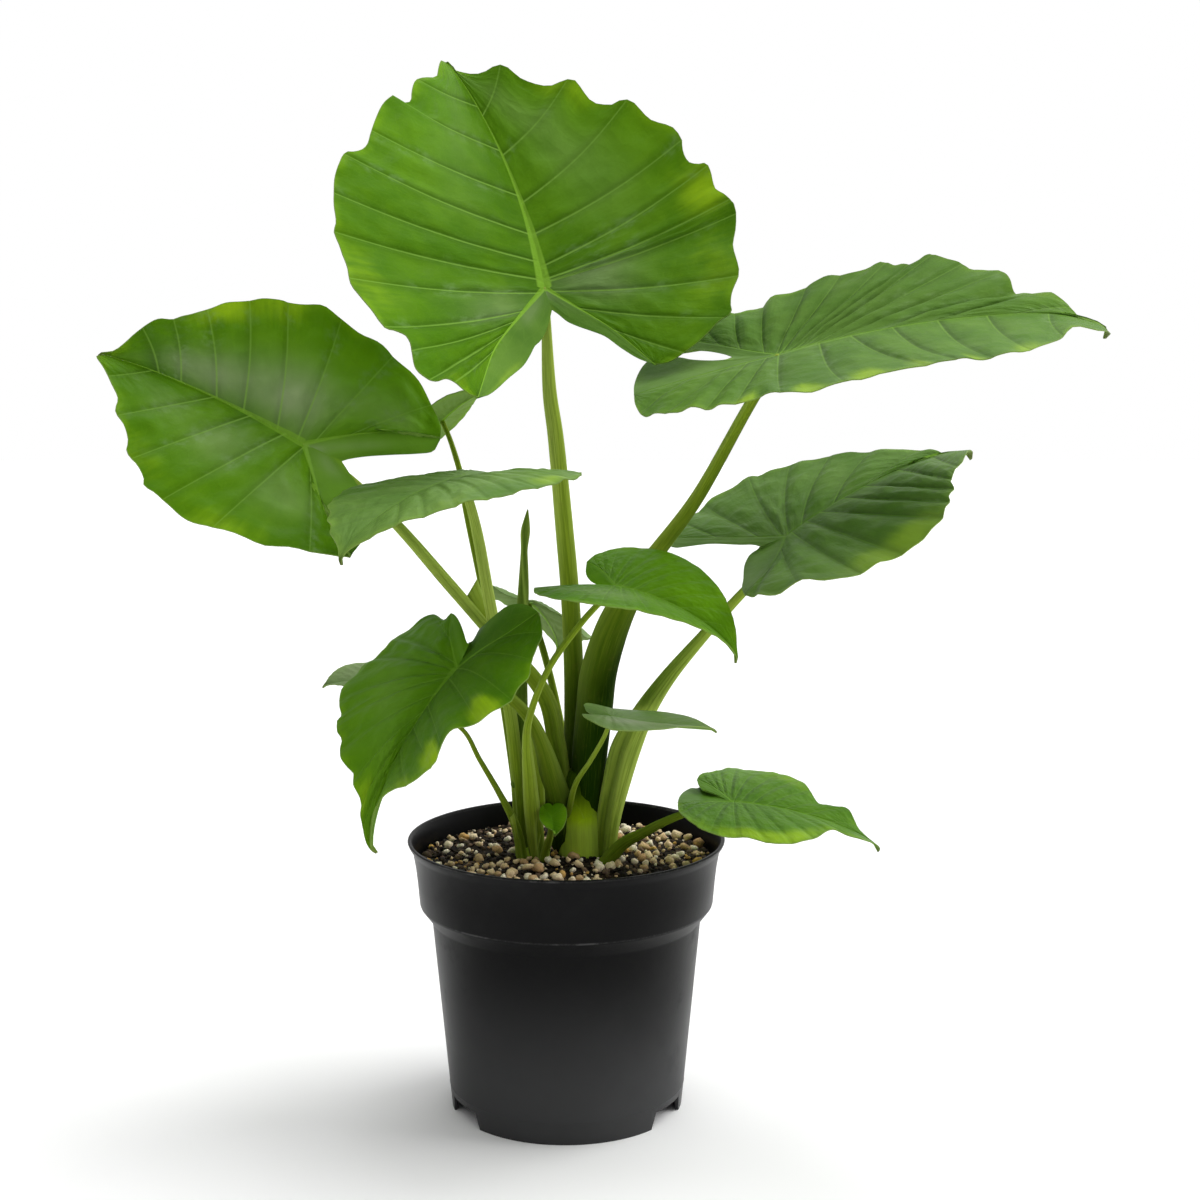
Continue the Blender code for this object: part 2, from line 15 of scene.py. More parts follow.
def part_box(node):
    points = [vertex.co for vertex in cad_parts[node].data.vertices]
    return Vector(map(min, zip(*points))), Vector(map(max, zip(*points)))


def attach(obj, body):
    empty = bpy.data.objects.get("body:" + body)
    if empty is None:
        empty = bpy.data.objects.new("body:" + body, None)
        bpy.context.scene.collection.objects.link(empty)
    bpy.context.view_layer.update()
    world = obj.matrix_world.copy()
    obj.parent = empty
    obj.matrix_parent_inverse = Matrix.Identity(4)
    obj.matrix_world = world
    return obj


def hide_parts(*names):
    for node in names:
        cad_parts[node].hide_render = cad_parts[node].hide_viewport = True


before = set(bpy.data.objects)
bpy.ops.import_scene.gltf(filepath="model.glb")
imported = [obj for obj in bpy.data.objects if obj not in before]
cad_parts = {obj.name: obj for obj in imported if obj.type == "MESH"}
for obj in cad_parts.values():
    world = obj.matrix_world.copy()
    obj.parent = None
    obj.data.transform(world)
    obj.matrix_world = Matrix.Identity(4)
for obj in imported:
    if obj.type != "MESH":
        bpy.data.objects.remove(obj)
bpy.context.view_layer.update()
MM = 0.001
ONCE_ROUND = 2 * math.pi
TO_ORIGIN = np.array((-.016, .005, 0))      # from the pot's axis to the middle of the whole plant

# %% [markdown]
# ## Working by hand, in code
# Operators act on everything that is selected, and the frame arrives selected, so each step first
# lets go of everything. Modifiers are applied at once, which leaves plain meshes with their place
# in the mesh, as the frame's own parts have.

# %% Selecting and applying


def hold(*objects):
    bpy.ops.object.select_all(action="DESELECT")
    for obj in objects:
        obj.select_set(True)
    bpy.context.view_layer.objects.active = objects[0]


def in_edit_mode(obj, work):
    hold(obj)
    bpy.ops.object.mode_set(mode="EDIT")
    bpy.ops.mesh.select_all(action="SELECT")
    work()
    bpy.ops.object.mode_set(mode="OBJECT")


def apply_modifier(obj, kind, **settings):
    modifier = obj.modifiers.new(kind.lower(), kind)
    for name, value in settings.items():
        setattr(modifier, name, value)
    hold(obj)
    bpy.ops.object.modifier_apply(modifier=modifier.name)


def joined(name, objects):
    hold(*objects)
    if len(objects) > 1:
        bpy.ops.object.join()
    obj = bpy.context.object
    obj.name = obj.data.name = name
    return obj


def merged(obj, distance):
    def work():
        bpy.ops.mesh.remove_doubles(threshold=distance)
        bpy.ops.mesh.normals_make_consistent(inside=False)
    in_edit_mode(obj, work)


def smooth(obj, degrees=None):
    """Shade smooth, all over or where faces meet at less than an angle."""
    hold(obj)
    if degrees is None:
        bpy.ops.object.shade_smooth()
    else:
        bpy.ops.object.shade_smooth_by_angle(angle=math.radians(degrees))


def coat(obj, *finishes):
    obj.data.materials.clear()
    for finish in finishes:
        obj.data.materials.append(finish)


# %% Reading and setting points


def points_of(obj):
    flat = np.empty(len(obj.data.vertices) * 3)
    obj.data.vertices.foreach_get("co", flat)
    return flat.reshape(-1, 3)


def set_points(obj, points):
    obj.data.vertices.foreach_set("co", np.asarray(points, float).ravel())
    obj.data.update()


def set_values(obj, name, values):
    """A number on each point, which a material can read."""
    made = obj.data.attributes.get(name) or obj.data.attributes.new(name, "FLOAT", "POINT")
    made.data.foreach_set("value", np.asarray(values, np.float32))


def unit(vector):
    return np.asarray(vector, float) / np.linalg.norm(vector)


def triangles(obj):
    return sum(len(face.vertices) - 2 for face in obj.data.polygons)


# %% [markdown]
# ## A way to write materials
# A finish here is arithmetic on textures. A small class wraps one socket of a shader node, so that
# a sum or product of two values adds the Math node for it. Every other node is added by one method
# that takes its kind, its settings and what goes into its sockets.

# %% Sockets as numbers


def operator(operation, reflected=False):
    """The method behind one of Python's operators: it adds a Math node."""
    def work(self, other):
        return self.look.math(operation, *((other, self) if reflected else (self, other)))
    return work


class Wire:
    """One value on its way through a material."""

    def __init__(self, look, socket):
        self.look = look
        self.socket = socket

    __add__, __radd__ = operator("ADD"), operator("ADD", True)
    __sub__, __rsub__ = operator("SUBTRACT"), operator("SUBTRACT", True)
    __mul__, __rmul__ = operator("MULTIPLY"), operator("MULTIPLY", True)
    __truediv__, __pow__ = operator("DIVIDE"), operator("POWER")


# %% Materials as arithmetic


class Look:
    """A material, or the world, being written."""

    def __init__(self, owner):
        owner.use_nodes = True
        self.owner = owner
        self.tree = owner.node_tree
        self.shader = self.tree.nodes.get("Principled BSDF")

    def node(self, kind, settings=None, sockets=None, output=0):
        made = self.tree.nodes.new(kind)
        for name, value in (settings or {}).items():
            setattr(made, name, value)
        for place, value in (sockets or {}).items():
            self.feed(made.inputs[place], value)
        return Wire(self, made.outputs[output])

    def feed(self, socket, value):
        if isinstance(value, Wire):
            self.tree.links.new(value.socket, socket)
        elif socket.type == "RGBA":
            socket.default_value = (*value[:3], 1)
        else:
            socket.default_value = value

    def math(self, operation, *values):
        return self.node("ShaderNodeMath", {"operation": operation}, dict(enumerate(values)))

    def step(self, value, start, end):
        """Nought below start, one above end, smooth between."""
        return self.node("ShaderNodeMapRange", {"interpolation_type": "SMOOTHSTEP"},
                         {"Value": value, "From Min": start, "From Max": end})

    def mix(self, share, first, second):
        return self.node("ShaderNodeMix", {"data_type": "RGBA"}, {0: share, 6: first, 7: second},
                         2)

    def layered(self, colour, layers):
        """A colour with others laid over it, each by its share."""
        for share, over in layers:
            colour = self.mix(share, colour, over)
        return colour

    def place(self, x, y, z=0.0):
        return self.node("ShaderNodeCombineXYZ", None, {0: x, 1: y, 2: z})

    def part(self, vector, index):
        return self.node("ShaderNodeSeparateXYZ", None, {0: vector}, index)

    def own_place(self):
        return self.node("ShaderNodeTexCoord", None, None, "Object")

    def read(self, name):
        return self.node("ShaderNodeAttribute", {"attribute_name": name}, None, "Fac")

    def map_pair(self, name):
        """The two numbers of a UV map."""
        pair = self.node("ShaderNodeUVMap", {"uv_map": name})
        return self.part(pair, 0), self.part(pair, 1)

    def noise(self, place, scale, detail=2.0, roughness=.5):
        return self.node("ShaderNodeTexNoise", None, {"Vector": place, "Scale": scale,
                                                      "Detail": detail, "Roughness": roughness})

    def cells(self, place, scale, feature="F1"):
        return self.node("ShaderNodeTexVoronoi", {"feature": feature},
                         {"Vector": place, "Scale": scale}, "Distance")

    def bump(self, height, millimetres):
        return self.node("ShaderNodeBump", None, {"Height": height, "Strength": 1.0,
                                                  "Distance": millimetres * MM})

    def finish(self, **sockets):
        for name, value in sockets.items():
            self.feed(self.shader.inputs[name.replace("_", " ")], value)


def new_look(name):
    return Look(bpy.data.materials.new(name))


# %% [markdown]
# ## Camera, light and floor
# The plant stands on a pale floor in front of a bright wall, seen from just above the pot's rim.
# The light is soft: a wide lamp to the right, a fill in front and a smaller one overhead, so far
# off that the floor is lit evenly, with a bright surround behind. The surround is dimmer on the
# camera's side and to the left. Only the overhead lamp is mirrored in shiny things: it draws the
# sheens on the leaves, while the greens stay deep and the pot black.

# %% Camera
camera_data = bpy.data.cameras.new("camera")
camera_data.lens = 57.0
camera_data.sensor_width = 36.0
camera = bpy.data.objects.new("camera", camera_data)
bpy.context.scene.collection.objects.link(camera)
camera.location = (.0043, -1.114, .465)
camera.rotation_euler = (math.radians(82.1), 0, 0)
bpy.context.scene.camera = camera
bpy.context.scene.view_settings.view_transform = "Standard"

# %% Light
SURROUND_FRONT = .32                        # brightness of the surround on the camera's side
SURROUND_BACK = .90
SURROUND_TURNS = (-.55, .35)                # where it goes from the one to the other
OVERHEAD = .45                              # how far straight up counts as behind
LEFT_DIMMING = .5
LAMPS = [                                   # name, where from, width in degrees, strength, mirrored
    ("key lamp", (1.0, .20, .80), 50, 2.10, False),
    ("fill lamp", (-.10, -.70, 1.3), 60, .40, False),
    ("overhead lamp", (.05, .18, 1.0), 26, .80, True),
]

world = bpy.data.worlds.new("surround")
bpy.context.scene.world = world
sky = Look(world)
ray = sky.node("ShaderNodeTexCoord", None, None, "Generated")
behind = sky.part(ray, 1) + OVERHEAD * sky.part(ray, 2)
glow = SURROUND_FRONT + (SURROUND_BACK - SURROUND_FRONT) * sky.step(behind, *SURROUND_TURNS)
glow = glow * (1 - LEFT_DIMMING * (1 - sky.step(sky.part(ray, 0), -.85, 0)))
seen = sky.node("ShaderNodeLightPath", None, None, "Is Camera Ray")
glow = sky.node("ShaderNodeMix", None, {0: seen, 2: glow, 3: 1.0})
background = sky.tree.nodes["Background"]
sky.feed(background.inputs["Strength"], glow)
sky.feed(background.inputs["Color"], (1, 1, 1))

for name, place, width, strength, mirrored in LAMPS:
    lamp = bpy.data.lights.new(name, "SUN")
    lamp.angle = math.radians(width)
    lamp.energy = strength
    lamp_object = bpy.data.objects.new(name, lamp)
    bpy.context.scene.collection.objects.link(lamp_object)
    lamp_object.location = place
    lamp_object.visible_glossy = mirrored
    lamp_object.rotation_euler = Vector(place).to_track_quat("Z", "Y").to_euler()

# %% Floor
bpy.ops.mesh.primitive_plane_add(size=12, location=(0, 0, 0))
floor = bpy.context.object
floor.name = "floor"
paint = new_look("floor paint")
paint.finish(Base_Color=(.93, .93, .93), Roughness=.8, Specular_IOR_Level=.1)
coat(floor, paint.owner)

# %% [markdown]
# ## The nursery pot
# A blow-moulded pot: a tapering wall, a wider collar, a rolled lip and a foot ring with three
# drainage notches. It could be spun from a profile, but pulling one ring up step by step is how it
# would be drawn by hand, and it keeps the faces in neat bands for the bevels.

# %% Pot measures
POT_SIDES = 144
FOOT_R = .0705
TAPER = .0936                               # radius gained per metre of height
FOOT_LINE = [(.0136, 0), (.0140, .0002), (.0144, 0)]    # height and how far out: a fine raised line
WALL_RINGS_Z = (.045, .080)
STEP_Z = .1157                              # where the collar starts
RIM_R = .0957
RIM_Z = .1655
WALL = .0015
BASE_Z = .0106
BASE_T = .0016
COLLAR = [(0, 0), (.0006, .0016), (.0064, .0092), (.0070, .0100), (.0074, .0112), (.0086, .0250),
          (.0095, .0330), (.0112, .0430)]
COLLAR_EDGE_Z = .1264                       # the collar's lower edge, where a thin highlight is painted
LIP = [(-.0023, -.0050), (-.0009, -.0028), (-.0002, -.0014), (0, -.0007), (-.0003, -.0001),
       (-.0010, 0), (-.0020, -.0002), (-.0027, -.0012), (-.0037, -.0036)]
CENTRE_R = .0002                            # the rings that close the base plate


def wall_radius(z):
    return FOOT_R + TAPER * z


step_radius = wall_radius(STEP_Z)
collar = [(step_radius + out, STEP_Z + up) for out, up in COLLAR]
lip = [(RIM_R + out, RIM_Z + up) for out, up in LIP]
foot_inside = FOOT_R - WALL - .0005
top_of_base = BASE_Z + BASE_T
outside = [(foot_inside, 0), (FOOT_R, 0)]
outside += [(wall_radius(z) + out, z) for z, out in FOOT_LINE]
outside += [(wall_radius(z), z) for z in WALL_RINGS_Z]
inside = [(r - WALL, z + .0004) for r, z in reversed(collar)]
inside += [(wall_radius(z) - WALL, z) for z in (*reversed(WALL_RINGS_Z), top_of_base)]
base = [(CENTRE_R, top_of_base), (CENTRE_R, BASE_Z), (foot_inside - .001, BASE_Z),
        (foot_inside, BASE_Z - .001), (foot_inside, 0)]
print("pot profile of", len(outside + collar + lip + inside + base), "places")

# %% Pull the pot up ring by ring


def pulled_up(name, profile, sides):
    """A ring at the first (radius, height) of a profile, extruded to each of the others."""
    bpy.ops.object.select_all(action="DESELECT")
    bpy.ops.mesh.primitive_circle_add(vertices=sides, radius=profile[0][0],
                                      location=(*TO_ORIGIN[:2], profile[0][1]))
    obj = bpy.context.object
    obj.name = name
    bpy.ops.object.transform_apply(location=True)
    bpy.ops.object.mode_set(mode="EDIT")
    bpy.ops.mesh.select_all(action="SELECT")
    for (r0, z0), (r1, z1) in zip(profile, profile[1:]):
        bpy.ops.mesh.extrude_region_move(TRANSFORM_OT_translate={"value": (0, 0, z1 - z0)})
        bpy.ops.transform.resize(value=(r1 / r0, r1 / r0, 1), center_override=TO_ORIGIN)
    bpy.ops.object.mode_set(mode="OBJECT")
    return obj


pot = pulled_up("nursery_pot", outside + collar + lip + inside + base, POT_SIDES)
merged(pot, .00002)
print("pot", triangles(pot), "triangles, rim", pot.dimensions.x, "m across")

# %% [markdown]
# The notches in the foot and the drain holes are cut away, as a moulder's tool would leave them: a
# wedge made from a cube with its top drawn in, and a ring of short cylinders.

# %% Cut the notches and drain holes
NOTCHES = 3
FIRST_NOTCH = -math.pi / 6
NOTCH_WIDTH = .035
NOTCH_TOP_WIDTH = .028
NOTCH_HEIGHT = .010
NOTCH_REACH = .014                          # more than the foot ring is thick
BELOW = .002                                # so that a cut leaves no skin
DRAINS = 6
DRAIN_R = .005
DRAIN_RING_R = .045
POT_BEVEL = .0004


def cut_away(obj, cutter):
    apply_modifier(obj, "BOOLEAN", object=cutter, operation="DIFFERENCE", solver="EXACT")
    bpy.data.objects.remove(cutter)


def notch_wedge(turn):
    bpy.ops.mesh.primitive_cube_add(size=1, location=(0, 0, 0))
    wedge = bpy.context.object
    box = points_of(wedge)
    high = box[:, 2] > 0
    box[:, 0] = FOOT_R + box[:, 0] * NOTCH_REACH
    box[:, 1] *= np.where(high, NOTCH_TOP_WIDTH, NOTCH_WIDTH)
    box[:, 2] = np.where(high, NOTCH_HEIGHT, -BELOW)
    set_points(wedge, box)
    wedge.rotation_euler.z = turn
    wedge.location = TO_ORIGIN
    return wedge


for index in range(NOTCHES):
    cut_away(pot, notch_wedge(FIRST_NOTCH + ONCE_ROUND * index / NOTCHES))
for index in range(DRAINS):
    turn = ONCE_ROUND * (index + .5) / DRAINS
    at = TO_ORIGIN + np.array((math.cos(turn), math.sin(turn), 0)) * DRAIN_RING_R
    bpy.ops.mesh.primitive_cylinder_add(vertices=24, radius=DRAIN_R, depth=.01,
                                        location=(at[0], at[1], top_of_base))
    cut_away(pot, bpy.context.object)
merged(pot, .00002)
apply_modifier(pot, "BEVEL", width=POT_BEVEL, segments=2, limit_method="ANGLE",
               angle_limit=math.radians(32))
smooth(pot, 35)
print("pot", triangles(pot), "triangles")

# %% [markdown]
# ### Black plastic
# Recycled plastic is nearly black and satin. Its surface has a very fine grain, faint scuffs and a
# little pale dust, and it is paler towards the bottom of the wall. A thin highlight is painted
# along the lower edge of the collar and along the lip, broken up by the scuffs.

# %% Pot finish
BLACK = (.0020, .0020, .0022)
PALE_GREY = (.056, .0565, .0575)
POT_EDGE_HIGHLIGHT = (.075, .075, .075)
plastic = new_look("black pot plastic")
here = plastic.own_place()
height = plastic.part(here, 2)
grain = plastic.noise(here, 900, 3)
scuff = plastic.step(plastic.noise(here, 38, 5, .65), .52, .72)
dust = plastic.step(plastic.noise(here, 11, 4, .6), .42, .75)
low = 1 - plastic.step(height, .015, .118)


def highlight_line_at(z, end):
    """One on the edge at a height, nought beyond it."""
    return 1 - plastic.step(plastic.math("ABSOLUTE", height - z), .0002, end)


# a thin painted highlight along the collar's lower edge and along the lip
edge = highlight_line_at(COLLAR_EDGE_Z, .0009) + highlight_line_at(RIM_Z - .0008, .0010)
# paler towards the bottom of the wall, with a little pale dust in places
shade = plastic.mix(.75 * low + .12 * dust, BLACK, PALE_GREY)
# the painted highlight lines, broken up by scuffs and grain
shade = plastic.mix(edge * .6 * plastic.step(scuff + .5 * grain, .1, .6), shade, POT_EDGE_HIGHLIGHT)
plastic.finish(Base_Color=shade, Roughness=.36 + .12 * scuff + .06 * dust, Specular_IOR_Level=.10,
               Normal=plastic.bump(grain * .5 + plastic.noise(here, 160, 2) * .5, .05), IOR=1.46)
coat(pot, plastic.owner)
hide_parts("pot")
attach(pot, "root")

# %% [markdown]
# ## Smooth lines
# Stalks, leaf margins and ribs are all drawn as a few points with a smooth line run through them.
# A Catmull-Rom line passes through its points, so each one stays where it was measured.

# %% A line through points


def run_line(points, count):
    """The line through points, as count evenly spaced places. Extra columns ride along."""
    p = np.array(points, float)
    p = np.vstack([2 * p[0] - p[1], p, 2 * p[-1] - p[-2]])
    t = np.linspace(0, 1, 24, endpoint=False)[:, None]
    runs = []
    for a, b, c, d in zip(p[:-3], p[1:-2], p[2:-1], p[3:]):
        runs.append(.5 * (2 * b + (c - a) * t + (2 * a - 5 * b + 4 * c - d) * t * t
                          + (3 * b - a - 3 * c + d) * t ** 3))
    line = np.vstack(runs + [p[-2][None]])
    steps = np.linalg.norm(np.diff(line[:, :3], axis=0), axis=1)
    along = np.concatenate([[0], np.cumsum(steps)])
    at = np.linspace(0, along[-1], count)
    return np.stack([np.interp(at, along, column) for column in line.T], 1)


def placed(line):
    """A line in mm from the pot's axis, in metres in the frame. A fourth column is its radius."""
    line = line * MM
    line[:, :3] += TO_ORIGIN
    return line


def bell(x, width):
    return np.exp(-(x / width) ** 2)


def ease(x, start, end):
    t = np.clip((x - start) / (end - start), 0, 1)
    return t * t * (3 - 2 * t)


# %% [markdown]
# ## The shape of a leaf
# An alocasia blade is an arrow: a heart-shaped front round the midrib and two lobes behind the
# foot, where the stalk meets it. Half of it is drawn flat, once for the species. The six leaves
# that are small or partly hidden stretch that drawing. A leaf also says where its foot and tip
# are, which way its upper side faces, and how much it bends, folds and twists.

# %% The flat half leaf
MARGIN = [(-.52, .30), (-.47, .43), (-.34, .54), (-.14, .615), (.08, .64), (.30, .60), (.50, .495),
          (.68, .345), (.80, .21), (.875, .105), (.925, .042), (.965, .014), (1, .004)]
SINUS = [(-.52, .30), (-.47, .19), (-.34, .105), (-.19, .05), (-.06, 0)]
SINUS_SHARES = (0, .1, .45, .8, 1)          # how far each point moves with the notch
LOBE_RIB = [(-.52, .30), (-.30, .20), (-.12, .085), (0, 0)]
VEIN_BOW = .05
# A vein: where it leaves the ribs (-1 the lobe's end, 0 the foot, 1 the tip) and where along the
# margin it ends (0 the lobe's end, 1 the tip).
COMMON_VEINS = [(-.60, .05), (-.42, .11), (-.26, .19), (-.08, .28), (0, .37), (.04, .46),
                (.12, .54),
                (.21, .63), (.33, .72), (.47, .80), (.64, .88)]
# What a leaf has unless it says otherwise. Pairs are (left, right), looking from foot to tip. A
# spot is (side, vein, across, size, strength), where side is 1 on the left and -1 on the right.
USUAL = dict(
    young=False, twist=0, sweep=0,          # degrees that the tip rolls over and swings aside
    width=(1, 1), lobe=(1, 1),              # how far the drawing's halves and lobes are stretched
    spread=0, notch=.08,                    # how far the lobes part, and how far behind the foot
    scallop=(1, 1), pleat=(1, 1),           # mm: bumps along the margin, folds between the veins
    pucker=.5,                              # mm: small unevenness between the veins
    hook=60,                                # degrees that the very tip turns down
    veins=(COMMON_VEINS, COMMON_VEINS),
    lines=(.4, .6),                         # how pale the midrib and the veins are
    bloom=0, waxed=(),                      # painted grey sheen, all over and in spots
    pale=(), dusk=(),                       # yellow-green spots of painted light through the leaf, partly yellowing; painted shade, and painted light below 0
    dry=.5,                                 # how brown the tip is
)


def leaf(foot, tip, face, bends, folds, arch, **own):
    """One blade, by its foot and tip in mm. The rest is in degrees: bends: how much the midrib
    turns down in front, at its tip and behind the foot. folds: how much a half rises at the foot
    and at its lobe, left and right if they differ. arch: how much a half curls over."""
    return dict(USUAL, foot=foot, tip=tip, face=face, bends=bends, folds=folds, arch=arch, **own)


# %% [markdown]
# The seven leaves that are seen whole have margins of their own, because their bumps and dips are
# what makes them that leaf. Each half is a line round the lobe and the front, and a line along the
# notch, both from the lobe's end. A place is (ahead, out) in thousandths of the midrib's length,
# and a third number says how many tenths of a mm it is raised.

